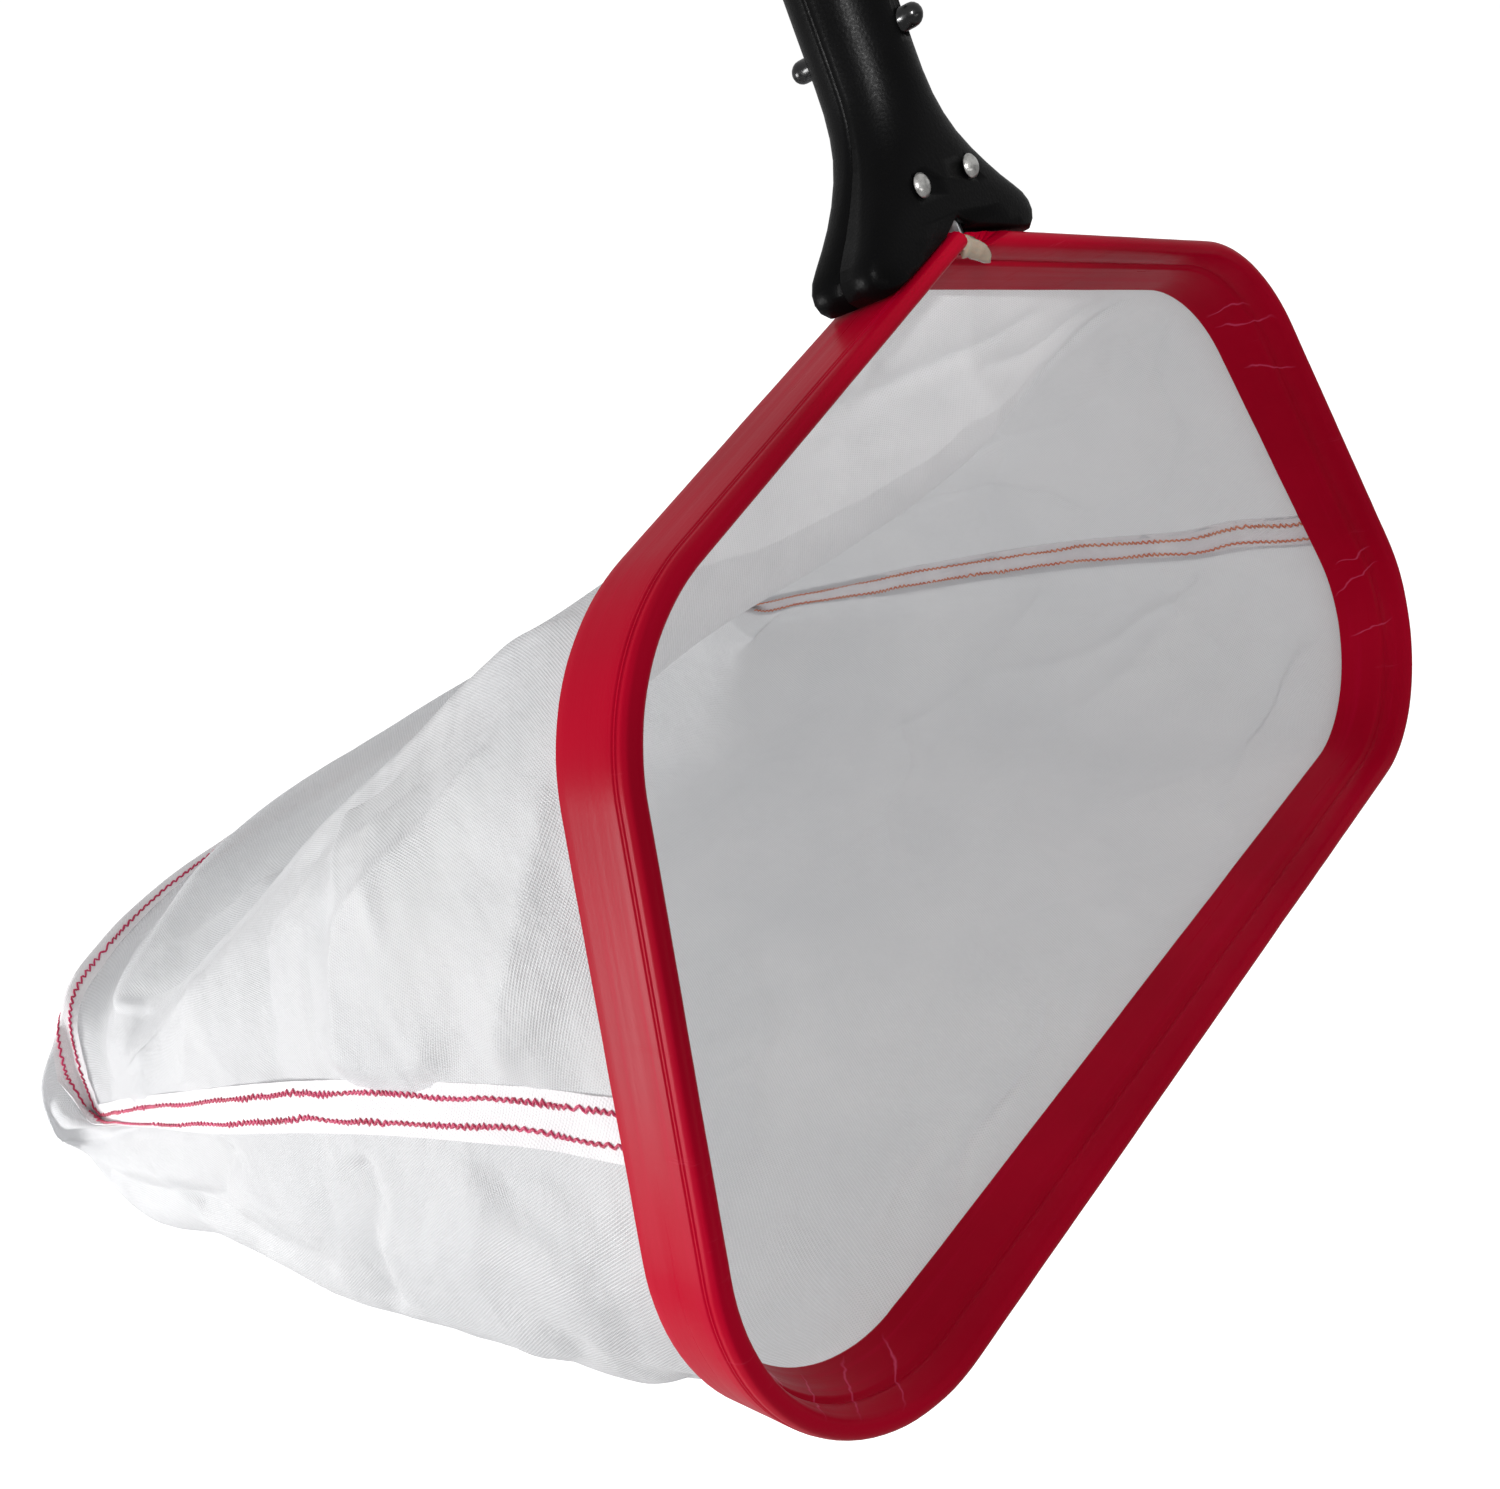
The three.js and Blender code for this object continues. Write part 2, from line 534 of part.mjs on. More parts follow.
// ---------------------------------------------------------------- seam tape
// U-shaped band that joins the two panels down one side, across the end and
// back up the other side.
const tapeRows = [];
{
  const mid = (u, v) => TOP(u, v);
  tapeRows.push([topMouth(tu, BAG_IN, 14.2), topMouth(0, BAG_IN, 14.2), botMouth(bu, BAG_IN, 14.2)]);
  for (const v of vRows.filter((v) => v < 0.96)) tapeRows.push([TOP(tu, v), mid(0, v), BOT(bu, v)]);
  tapeRows.push([TOP(tu, vEnd), endAt(0), BOT(bu, vEnd)]);
  const ends = [0.06, 0.09, 0.12, 0.15, 0.18, 0.215, 0.25, 0.29, 0.33, 0.375, 0.42, 0.47, 0.52, 0.57, 0.62, 0.67, 0.72, 0.76, 0.8, 0.84, 0.87, 0.905, 0.94];
  const near = botU.filter((u) => (u > 0.012 && u < 0.115) || (u > 0.885 && u < 0.988));   // same stations as the lower panel at the corners
  const all = [...near, ...ends.filter((w) => w > 0.115 && w < 0.885)].sort((a, b) => a - b);
  for (const w of all) tapeRows.push([TOP(w, vEnd), endAt(w), BOT(w, vEnd)]);
  tapeRows.push([TOP(1 - tu, vEnd), endAt(1), BOT(1 - bu, vEnd)]);
  for (const v of vRows.filter((v) => v < 0.96).reverse()) tapeRows.push([TOP(1 - tu, v), mid(1, v), BOT(1 - bu, v)]);
  tapeRows.push([topMouth(1 - tu, BAG_IN, 14.2), topMouth(1, BAG_IN, 14.2), botMouth(1 - bu, BAG_IN, 14.2)]);
}
addTo(mouth, 'seam_tape', shell(tapeRows, BAG_T), M.tape);

// ---------------------------------------------------------------- stitching
// Two rows of thread laid on the outside of the tape.
const tapeP = tapeRows.map((r) => r.map((p) => new THREE.Vector3(...p)));
const tapeN = tapeP.map((r) => r.map(() => new THREE.Vector3()));
for (let i = 0; i < tapeP.length - 1; i++) for (let j = 0; j < 2; j++) {
  const q = [[i, j], [i, j + 1], [i + 1, j + 1], [i + 1, j]];
  const [A, B, C, D] = q.map(([r, c]) => tapeP[r][c]);
  const n = C.clone().sub(A).cross(D.clone().sub(B));
  for (const [r, c] of q) tapeN[r][c].add(n);
}
const OUT = tapeN[5][1].x < 0 ? 1 : -1;      // the left seam faces -X
function stitch(edge, from, to, lift = 0.6) {
  const out = [];
  for (let i = from; i <= to; i++) {
    const across = tapeP[i][edge].clone().sub(tapeP[i][1]);
    const w = across.length();
    across.normalize();
    const k = Math.min(STITCH_AT / w, 0.55);
    const nrm = tapeN[i][edge].clone().normalize();
    const c = tapeP[i][1].clone().addScaledVector(across, k * w).addScaledVector(nrm, OUT * (BAG_T / 2 + lift));
    out.push([c.clone().addScaledVector(across, STITCH_W / 2).toArray(), c.clone().addScaledVector(across, -STITCH_W / 2).toArray()]);
  }
  return out;
}
// Each row is sewn in three runs: left side, end and right side.
const corner = 1 + vRows.length;             // station of the left end corner
const last = tapeP.length - 1;
for (const [edge, row] of [[0, 'upper'], [2, 'lower']]) {
  addTo(mouth, `stitch_left_${row}`, shell(stitch(edge, 2, corner - 1, 0.85), 0.3), M.thread);
  addTo(mouth, `stitch_end_${row}`, shell(stitch(edge, corner + 3, last - corner - 3, 0.8), 0.3), M.thread);
  addTo(mouth, `stitch_right_${row}`, shell(stitch(edge, last - corner + 1, last - 2, 0.85), 0.3), M.thread);
}

// ---------------------------------------------------------------- apex filler
// Clear filler in the gap between the two lip ends, in front of the band.
{
  const k = (APEX_Z - SHOULDER_Z) / SHOULDER_X;
  const zT = (x) => APEX_Z - 0.9 - k * Math.abs(x), zB = (x) => APEX_Z - 6.4 - k * Math.abs(x);
  const sh = new THREE.Shape();
  const xs = [-5.6, -3, 0, 3, 5.6];
  xs.forEach((x, i) => (i ? sh.lineTo(x, zT(x)) : sh.moveTo(x, zT(x))));
  xs.slice().reverse().forEach((x) => sh.lineTo(x, zB(x) + (Math.abs(x) < 5 ? 0.8 : 0)));
  const g = new THREE.ExtrudeGeometry(sh, { depth: 4.2, bevelEnabled: false });
  g.rotateX(Math.PI / 2);          // extrude along -Y
  g.translate(0, 5.4, 0);
  addTo(mouth, 'apex_filler', orientOut(clean(g)), M.sealant);
}

// ---------------------------------------------------------------- yoke
// Outer form: round plug that flares into two rounded legs over the arms.
const YOKE_W = [          // [z above leading edge, half width, half depth, squareness]
  [BUTTON_Z + PLUG_TOP, 14.6, 14.6, 2], [BUTTON_Z + PLUG_TOP - 1, PLUG_R, PLUG_R, 2],
  [372, PLUG_R, PLUG_R, 2], [338, PLUG_R, PLUG_R, 2], [330, 15.7, PLUG_R, 2.05], [323, 16.8, 15.4, 2.2],
  [317, 18.8, 15.2, 2.45], [311, 22.0, 15.0, 2.8], [305, 26.4, 14.8, 3.3], [299.5, 31.0, 14.6, 4.0],
  [294.5, 35.6, 14.5, 5.0], [290, 40.2, 14.5, 6.2], [287, 43.0, 14.5, 7.2], [284, 44.6, 14.5, 7.8],
  [281, 45.0, 14.5, 7.8], [278.2, 44.0, 14.4, 7.4], [275.8, 41.0, 14.3, 6.8], [274.2, 36.5, 14.1, 6.2], [273.2, 30, 13.9, 5.6],
];
const YOKE_REAR = 1.6;    // the legs are this much wider at the rear
const YN = 44;
const superRing = ([z, w, h, n], grow = 0) => {
  const out = [];
  for (let i = 0; i < YN; i++) {
    const a = (2 * Math.PI * i) / YN;
    const c = Math.cos(a), s = Math.sin(a);
    const rear = z < 300 ? YOKE_REAR * Math.min(1, (300 - z) / 14) * s : 0;
    out.push([
      (w + grow + rear) * Math.sign(c) * Math.abs(c) ** (2 / n),
      PLUG_Y + (h + grow) * Math.sign(s) * Math.abs(s) ** (2 / n), z,
    ]);
  }
  return out;
};
const k0 = (APEX_Z - SHOULDER_Z) / SHOULDER_X;
{
  let body = solid(loft(YOKE_W.map((r) => superRing(r))));
  // underside follows the two arms and leaves a small notch at the apex
  const cut = new THREE.Shape();
  const g0 = 1.2;
  cut.moveTo(-70, 230); cut.lineTo(70, 230); cut.lineTo(70, APEX_Z + g0 - k0 * 70);
  cut.lineTo(9, APEX_Z + g0 - k0 * 9); cut.lineTo(0, APEX_Z + g0 + 2.4);
  cut.lineTo(-9, APEX_Z + g0 - k0 * 9); cut.lineTo(-70, APEX_Z + g0 - k0 * 70);
  const cg = new THREE.ExtrudeGeometry(cut, { depth: 60, bevelEnabled: false });
  cg.rotateX(Math.PI / 2); cg.translate(0, 45, 0);
  body = body.subtract(solid(orientOut(clean(cg))));
  // bore of the plug
  body = body.subtract(solid(cyl(PLUG_BORE_R, [0, PLUG_Y, BUTTON_Z + BORE_FLOOR], [0, PLUG_Y, BUTTON_Z + PLUG_TOP + 10], 32)));
  // pocket for the hooked band ends, with a pillar round each rivet
  let pocket = solid(box(-22, 22, 5.5, 26, 289.5, 303)).add(solid(box(-17.5, 17.5, 5.5, 26, 302, 310.8)));
  for (const s of [-1, 1]) pocket = pocket.subtract(solid(cyl(5.0, [s * RIVET_X, 2, RIVET_Z], [s * RIVET_X, 31, RIVET_Z], 20)));
  pocket = pocket.add(solid(box(-7.6, 7.6, 5, 28.6, 270, 298)));
  body = body.subtract(pocket);
  // rivet holes
  for (const s of [-1, 1]) body = body.subtract(solid(cyl(RIVET_R + 0.3, [s * RIVET_X, -10, RIVET_Z], [s * RIVET_X, 45, RIVET_Z], 20)));
  // button holes, oversize below the button because it swings as it goes in
  const az = (BUTTON_AZ * Math.PI) / 180, ux = Math.cos(az), uy = Math.sin(az);
  body = body.subtract(solid(cyl(4.25, [-30 * ux, PLUG_Y - 30 * uy, BUTTON_Z - 0.55], [30 * ux, PLUG_Y + 30 * uy, BUTTON_Z - 0.55], 24)));
  const front = body.intersect(solid(box(-100, 100, -20, PLUG_Y - SPLIT_GAP / 2, 200, 500)));
  const back = body.intersect(solid(box(-100, 100, PLUG_Y + SPLIT_GAP / 2, 60, 200, 500)));
  addTo(mouth, 'yoke_front_half', fromSolid(front), M.nylon);
  addTo(mouth, 'yoke_back_half', fromSolid(back), M.nylon);
}

// ---------------------------------------------------------------- rivets
const yokeFace = PLUG_Y - 14.65, yokeBack = PLUG_Y + 14.65;   // faces at rivet height
function rivet() {
  // profile in (radius, y): domed head in front, shank, flattened tail behind
  const f = yokeFace - 0.3, w = yokeBack + 0.3 + 1.0 + 0.3;
  const p = [
    [0, f - 2.0], [1.4, f - 1.85], [2.7, f - 1.3], [RIVET_HEAD_R, f - 0.35], [RIVET_HEAD_R, f], [RIVET_R, f],
    [RIVET_R, w], [3.3, w], [3.4, w + 0.9], [2.4, w + 1.6], [0, w + 1.8],
  ];
  const g = new THREE.LatheGeometry(p.map(([r, y]) => new THREE.Vector2(r, y)), 20);
  return g;
}
for (const [s, n] of [[-1, 'left'], [1, 'right']]) {
  const g = rivet();
  g.translate(s * RIVET_X, 0, RIVET_Z);
  addTo(mouth, `rivet_${n}`, orientOut(clean(g)), M.rivet);
  const y0 = yokeBack + 0.3, y1 = y0 + 1.0;
  const wg = new THREE.LatheGeometry([[RIVET_R + 0.3, y0], [5.0, y0], [5.0, y1], [RIVET_R + 0.3, y1], [RIVET_R + 0.3, y0]]
    .map(([r, y]) => new THREE.Vector2(r, y)), 20);
  wg.translate(s * RIVET_X, 0, RIVET_Z);
  addTo(mouth, `rivet_washer_${n}`, orientOut(clean(wg)), M.rivet);
}

// ---------------------------------------------------------------- snap clip
// U-shaped spring strip in the bore: the bend stays put, each leg swings
// about its upper end and carries one button.
const clip = new THREE.Group();
clip.rotation.z = (BUTTON_AZ * Math.PI) / 180;
root.add(clip);
{
  const r1 = LEG_MID + LEG_T / 2, r0 = LEG_MID - LEG_T / 2;
  const sh = new THREE.Shape();
  const N = 12;
  for (let i = 0; i <= N; i++) {
    const a = (Math.PI * i) / N;
    const f = i ? 'lineTo' : 'moveTo';
    sh[f](r1 * Math.cos(a), r1 * Math.sin(a));
  }
  for (let i = N; i >= 0; i--) {
    const a = (Math.PI * i) / N;
    sh.lineTo(r0 * Math.cos(a), r0 * Math.sin(a));
  }
  const g = new THREE.ExtrudeGeometry(sh, { depth: LEG_W, bevelEnabled: false });
  g.rotateX(Math.PI / 2);
  g.translate(0, LEG_W / 2, LEG_TOP + 0.3);
  addTo(clip, 'clip_bend', orientOut(clean(g)), M.spring);
  for (const [s, n] of [[1, 'front'], [-1, 'back']]) {
    addTo(clip, `clip_leg_${n}`, box(
      Math.min(s * r0, s * r1), Math.max(s * r0, s * r1), -LEG_W / 2, LEG_W / 2, LEG_BOTTOM, LEG_TOP), M.spring);
    const x0 = r1 + 0.3, xd = BUTTON_TIP - BUTTON_R;
    const prof = [[0, x0], [4.4, x0], [4.4, x0 + 0.6], [BUTTON_R, x0 + 0.6], [BUTTON_R, xd]];
    for (let i = 1; i <= 5; i++) {
      const a = (Math.PI / 2) * (i / 5);
      prof.push([i === 5 ? 0 : BUTTON_R * Math.cos(a), xd + BUTTON_R * Math.sin(a)]);
    }
    const bg = new THREE.LatheGeometry(prof.map(([r, y]) => new THREE.Vector2(r, y)), 20);
    bg.rotateZ(s > 0 ? -Math.PI / 2 : Math.PI / 2);
    addTo(clip, `clip_button_${n}`, orientOut(clean(bg)), M.button);
  }
}

export default root;
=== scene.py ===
import math

import bpy
import numpy as np
from mathutils import Matrix, Vector
from mathutils.geometry import tessellate_polygon


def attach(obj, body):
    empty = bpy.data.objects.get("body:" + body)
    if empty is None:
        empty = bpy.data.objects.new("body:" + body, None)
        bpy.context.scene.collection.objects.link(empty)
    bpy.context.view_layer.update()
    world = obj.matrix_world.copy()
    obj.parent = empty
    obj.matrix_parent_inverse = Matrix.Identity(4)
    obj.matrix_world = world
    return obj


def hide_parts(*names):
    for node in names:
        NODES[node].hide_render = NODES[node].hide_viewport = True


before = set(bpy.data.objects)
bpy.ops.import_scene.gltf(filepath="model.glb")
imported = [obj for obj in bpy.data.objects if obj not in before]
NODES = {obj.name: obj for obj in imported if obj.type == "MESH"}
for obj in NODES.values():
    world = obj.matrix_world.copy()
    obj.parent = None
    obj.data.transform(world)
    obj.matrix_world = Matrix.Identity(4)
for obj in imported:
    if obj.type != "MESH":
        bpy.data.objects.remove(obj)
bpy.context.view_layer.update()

scene = bpy.context.scene

# ------------------------------------------------------------------ frame
# Mouth coordinates in millimetres: x across, y back into the bag, z above the
# leading edge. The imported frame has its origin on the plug's axis.
OFF = np.array([0.0, -15.5, -344.0])


def F(p):
    return (np.asarray(p, float) + OFF) / 1000.0


APEX_Z, SHOULDER_X, SHOULDER_Z, BASE_X = 285.5, 184.0, 234.1, 261.0
SHOULDER_R, BASE_R, LIP_DEPTH = 72.0, 67.0, 29.0
PLUG_R, BORE_R, PLUG_TOP, BUTTON_Z, PLUG_Y = 15.5, 12.3, 70.0, 344.0, 15.5
K0 = (APEX_Z - SHOULDER_Z) / SHOULDER_X


def segments():
    A, B = np.array([0, APEX_Z]), np.array([SHOULDER_X, SHOULDER_Z])
    C, D = np.array([BASE_X, 0.0]), np.array([0.0, 0.0])
    out, start = [], A
    unit = lambda v: v / np.linalg.norm(v)
    for P, Q, N, r in ((A, B, C, SHOULDER_R), (B, C, D, BASE_R)):
        d1, d2 = unit(Q - P), unit(N - Q)
        turn = math.acos(float(d1 @ d2))
        L = r * math.tan(turn / 2)
        s = Q - d1 * L
        n1 = np.array([d1[1], -d1[0]])
        c = s + n1 * r
        out.append(("line", start, s, n1, float(np.linalg.norm(s - start))))
        out.append(("arc", c, r, (math.atan2(-n1[1], -n1[0]), turn), r * turn))
        start = Q + d2 * L
    d = unit(D - start)
    out.append(("line", start, D, np.array([d[1], -d[0]]), float(np.linalg.norm(D - start))))
    return out


SEG = segments()
HALF_LEN = sum(s[4] for s in SEG)
MITRE = 1 / math.cos(math.atan2(APEX_Z - SHOULDER_Z, SHOULDER_X))


def outline(s):
    """Point and inward normal at a distance s from the apex; negative is the left side."""
    t = abs(s)
    if t < 1e-4:
        return 0.0, APEX_Z, 0.0, -MITRE
    for k, g in enumerate(SEG):
        if t <= g[4] + 1e-9 or k == len(SEG) - 1:
            if g[0] == "line":
                p = g[1] + (g[2] - g[1]) * (t / g[4])
                n = g[3]
            else:
                a = g[3][0] - g[3][1] * (t / g[4])
                n = np.array([-math.cos(a), -math.sin(a)])
                p = g[1] - n * g[2]
            break
        t -= g[4]
    x, z, nx, nz = float(p[0]), float(p[1]), float(n[0]), float(n[1])
    return (-x, z, -nx, nz) if s < 0 else (x, z, nx, nz)


def off(s, o, y):
    x, z, nx, nz = outline(s)
    return [x + nx * o, y, z + nz * o]


def side_at(z):
    a, b = SEG[2][1], SEG[2][2]
    return SEG[0][4] + SEG[1][4] + (a[1] - z) / (a[1] - b[1]) * SEG[2][4]


S_LEFT, S_RIGHT = -side_at(118.0), side_at(102.0)
TOP_LEN = S_RIGHT - S_LEFT
BOT_LEN = 2 * HALF_LEN - TOP_LEN


def top_mouth(u, o, y):
    return off(S_LEFT + TOP_LEN * u, o, y)


def bot_mouth(u, o, y):
    s = S_LEFT - BOT_LEN * u
    return off(s + 2 * HALF_LEN if s < -HALF_LEN else s, o, y)


# ------------------------------------------------------------------ bag net
BAG_DEPTH = 400.0
ROW_Y = np.array([29, 60, 95, 116, 150, 220, 300, 360, 385, 400], float)
LEFT_SEAM = [[-216, 118], [-219, 117], [-224, 116], [-226.6, 115], [-231, 113], [-240, 106], [-250, 95], [-257, 86], [-259, 81], [-260, 79]]
RIGHT_SEAM = [[228, 102], [231, 101], [232, 99], [233.5, 100.5], [236, 103], [234, 107], [228, 109], [224, 110], [221.5, 110.7], [220, 111]]
TOP_NET = [
    [[-203, 170], [-158, 240], [-88, 258], [0, 281], [88, 258], [158, 240], [206, 162]],
    [[-207, 176], [-158, 236], [-90, 238], [0, 247], [94, 231], [165, 228], [212, 160]],
    [[-210, 174], [-160, 226], [-93, 217], [0, 209], [98, 200], [168, 212], [215, 155]],
    [[-211, 171], [-161, 219], [-96, 204], [0, 190], [99, 191], [170, 204], [216, 152]],
    [[-214, 166], [-162, 207], [-100, 180], [0, 183], [100, 184], [172, 192], [218, 148]],
    [[-222, 148], [-176, 182], [-112, 166], [0, 174], [105, 172], [175, 176], [216, 142]],
    [[-235, 124], [-200, 146], [-132, 152], [-20, 168], [100, 168], [172, 164], [211, 139]],
    [[-248, 104], [-224, 126], [-160, 152], [-40, 167], [92, 166], [165, 160], [205, 136]],
    [[-251, 98], [-234, 134], [-167, 165], [-46, 171], [88, 166], [157, 159], [201, 137]],
    [[-255, 108], [-236, 144], [-170, 166], [-50, 168], [85, 166], [150, 158], [198, 138]],
]
BOTTOM_NET = [
    [[-236, 60], [-225, 12], [-110, 7], [0, 7], [110, 7], [225, 12], [240, 55]],
    [[-239, 62], [-226, 16], [-110, 5], [0, 4], [110, 6], [224, 18], [241, 58]],
    [[-242, 66], [-233, 22], [-115, 7], [0, 5], [112, 10], [217, 26], [241, 62]],
    [[-244.5, 66], [-236, 23], [-116, 8], [0, 6], [111, 12], [213, 29], [240, 64]],
    [[-248, 66], [-240, 24], [-118, 10], [0, 8], [110, 16], [207, 34], [238, 68]],
    [[-254, 64], [-249, 26], [-125, 14], [0, 14], [105, 24], [199, 43], [234, 76]],
    [[-261, 62], [-256, 33], [-140, 24], [-10, 26], [95, 38], [190, 56], [227, 84]],
    [[-268, 66], [-266, 48], [-160, 50], [-30, 56], [80, 66], [180, 76], [222, 92]],
    [[-267, 84], [-260, 92], [-172, 104], [-34, 108], [84, 114], [178, 116], [214, 98]],
    [[-258, 104], [-245, 136], [-175, 165], [-40, 168], [85, 166], [150, 158], [198, 138]],
]
END_SEAM = np.array([[-260, 79], [-254, 111], [-243, 136], [-219, 148], [-186, 156], [-150, 159], [-90, 160],
                     [-20, 160], [60, 159], [120, 155], [165, 145], [200, 129], [220, 111]], float)
BULGE_V = np.array([0, 0.45, 0.62, 0.75, 0.85, 0.9, 0.95, 0.98, 1])
BULGE_Y = np.array([0, 0, 4, 18, 38, 41, 28, 13, 0], float)
BULGE_Z = np.array([0, 0, 0, 0, 1, 3, 8, 8, 0], float)


def cubic(knots, vals, t):
    """Piecewise cubic through vals (n, ...) at knots, for an array t; result has t's shape first."""
    knots, vals, t = np.asarray(knots, float), np.asarray(vals, float), np.atleast_1d(np.asarray(t, float))
    n = len(knots)
    h = np.diff(knots)
    sec = np.diff(vals, axis=0) / h.reshape(-1, *([1] * (vals.ndim - 1)))
    m = np.zeros_like(vals)
    m[0], m[-1] = sec[0], sec[-1]
    ha = h[:-1].reshape(-1, *([1] * (vals.ndim - 1)))
    hb = h[1:].reshape(-1, *([1] * (vals.ndim - 1)))
    m[1:-1] = (sec[:-1] * hb + sec[1:] * ha) / (ha + hb)
    i = np.clip(np.searchsorted(knots, t, side="left") - 1, 0, n - 2)
    e = [slice(None)] + [None] * (vals.ndim - 1)
    hh = h[i][tuple(e)]
    u = ((t - knots[i]) / h[i])[tuple(e)]
    u2, u3 = u * u, u * u * u
    return (2 * u3 - 3 * u2 + 1) * vals[i] + (u3 - 2 * u2 + u) * m[i] * hh + (-2 * u3 + 3 * u2) * vals[i + 1] + (u3 - u2) * m[i + 1] * hh


def smooth(t):
    k = np.clip(t, 0, 1)
    return k * k * (3 - 2 * k)


_ek = np.concatenate([[0], np.cumsum(np.linalg.norm(np.diff(END_SEAM, axis=0), axis=1))])
END_K = _ek / _ek[-1]


def end_at(w):
    p = cubic(END_K, END_SEAM, w)
    return np.stack([p[:, 0], np.full(len(p), BAG_DEPTH), p[:, 1]], axis=1)


class Panel:
    """The draped surface of one panel, as a function of u across and v from mouth to end seam."""

    def __init__(self, net, mouth, bulge, sharp):
        self.mouth, self.bulge, self.sharp = mouth, bulge, sharp
        self.full = np.array([[LEFT_SEAM[i], *row, RIGHT_SEAM[i]] for i, row in enumerate(net)], float)
        ks = [0.0]
        cand = np.arange(1, 400) / 400
        pts = np.array([mouth(c, 5.9, 29) for c in cand])
        for x, z in self.full[0][1:-1]:
            ks.append(float(cand[np.argmin((pts[:, 0] - x) ** 2 + (pts[:, 2] - z) ** 2)]))
        self.knots = np.array([*ks, 1.0])
        self.vk = (ROW_Y - ROW_Y[0]) / (BAG_DEPTH - ROW_Y[0])

    def rows(self, us):
        cols = np.transpose(self.full, (1, 0, 2))
        c = cubic(self.knots, cols, us)
        if self.sharp:
            lin = np.stack([np.stack([np.interp(us, self.knots, cols[:, r, k]) for r in range(len(ROW_Y))], 1) for k in (0, 1)], 2)
            w = np.zeros(len(us))
            for uk, half, amount in self.sharp:
                w = np.maximum(w, amount * (1 - smooth(np.abs(us - self.knots[uk]) / half)))
            c = c + (lin - c) * w[:, None, None]
        return np.transpose(c, (1, 0, 2))            # row, u, xz

    def grid(self, us, vs):
        us, vs = np.asarray(us, float), np.asarray(vs, float)
        r = self.rows(us)
        p = cubic(self.vk, r, vs)                    # v, u, xz
        y = (ROW_Y[0] + (BAG_DEPTH - ROW_Y[0]) * vs)[:, None] * np.ones((1, len(us)))
        m = np.array([self.mouth(u, 5.9, 29.4) for u in us])
        e = end_at(us)
        a = (1 - smooth(vs / 0.14))[:, None]
        b = smooth((vs - 0.93) / 0.07)[:, None]
        edge = (smooth(us / 0.045) * smooth((1 - us) / 0.07))[None, :]
        corner = (smooth(us / 0.03) * (1 - smooth((us - 0.07) / 0.05)))[None, :]
        x = p[:, :, 0] + (m[:, 0] - r[0, :, 0]) * a + (e[:, 0] - r[-1, :, 0]) * b
        z = p[:, :, 1] + (m[:, 2] - r[0, :, 1]) * a + (e[:, 2] - r[-1, :, 1]) * b
        yy = y + 0.4 * a + self.bulge * edge * cubic(BULGE_V, BULGE_Y, vs)[:, None]
        lip = self.bulge * corner * cubic(BULGE_V, BULGE_Z, vs)[:, None]
        return np.stack([x - 1.1 * lip, yy, z + 0.5 * lip], axis=2)


TOP = Panel(TOP_NET, top_mouth, 0, [(2, 0.12, 1.0)])
BOT = Panel(BOTTOM_NET, bot_mouth, 1, [])

# ------------------------------------------------------------------ noise
_rng = np.random.default_rng(7)
_LAT = _rng.uniform(-1, 1, (64, 64, 64))


def vnoise(p):
    """Smooth value noise at points p (..., 3), from -1 to 1, the same each run."""
    q = np.asarray(p, float)
    i = np.floor(q).astype(int)
    f = q - i
    f = f * f * (3 - 2 * f)
    out = 0
    for dx in (0, 1):
        for dy in (0, 1):
            for dz in (0, 1):
                w = (f[..., 0] if dx else 1 - f[..., 0]) * (f[..., 1] if dy else 1 - f[..., 1]) * (f[..., 2] if dz else 1 - f[..., 2])
                out = out + w * _LAT[(i[..., 0] + dx) % 64, (i[..., 1] + dy) % 64, (i[..., 2] + dz) % 64]
    return out


def fbm(p, octaves=3):
    p = np.asarray(p, float)
    return sum(vnoise(p * 2 ** k + 11.3 * k) * 0.5 ** k for k in range(octaves))


# ------------------------------------------------------------------ meshes
def make(name, verts, faces, mats=(), uvs=None, smooth_shade=True, sharp=None):
    """A mesh object from points in mouth millimetres; uvs is one (u, v) for each vertex, in metres."""
    me = bpy.data.meshes.new(name)
    me.from_pydata([tuple(v) for v in F(verts)], [], [tuple(int(i) for i in f) for f in faces])
    me.validate()
    if uvs is not None:
        layer = me.uv_layers.new(name="UVMap")
        loops = np.zeros(len(me.loops), np.int32)
        me.loops.foreach_get("vertex_index", loops)
        layer.data.foreach_set("uv", np.asarray(uvs, np.float32)[loops].ravel())
    if smooth_shade:
        me.polygons.foreach_set("use_smooth", np.ones(len(me.polygons), bool))
        if sharp:
            me.set_sharp_from_angle(angle=math.radians(sharp))
    for m in mats:
        me.materials.append(m)
    me.update()
    o = bpy.data.objects.new(name, me)
    scene.collection.objects.link(o)
    return o


def grid_faces(nr, nc, closed_r=False, closed_c=False, base=0):
    out = []
    for i in range(nr if closed_r else nr - 1):
        i2 = (i + 1) % nr
        for j in range(nc if closed_c else nc - 1):
            j2 = (j + 1) % nc
            out.append((base + i * nc + j, base + i * nc + j2, base + i2 * nc + j2, base + i2 * nc + j))
    return out


def normals_of(G):
    """Unit normals of a grid (r, c, 3)."""
    du = np.gradient(G, axis=1)
    dv = np.gradient(G, axis=0)
    n = np.cross(du, dv)
    return n / np.maximum(np.linalg.norm(n, axis=2, keepdims=True), 1e-9)


def volume(verts, faces):
    v = np.asarray(verts, float)
    total = 0.0
    for f in faces:
        for k in range(1, len(f) - 1):
            total += float(np.dot(v[f[0]], np.cross(v[f[k]], v[f[k + 1]])))
    return total / 6


def outward(verts, faces):
    return faces if volume(verts, faces) > 0 else [tuple(reversed(f)) for f in faces]


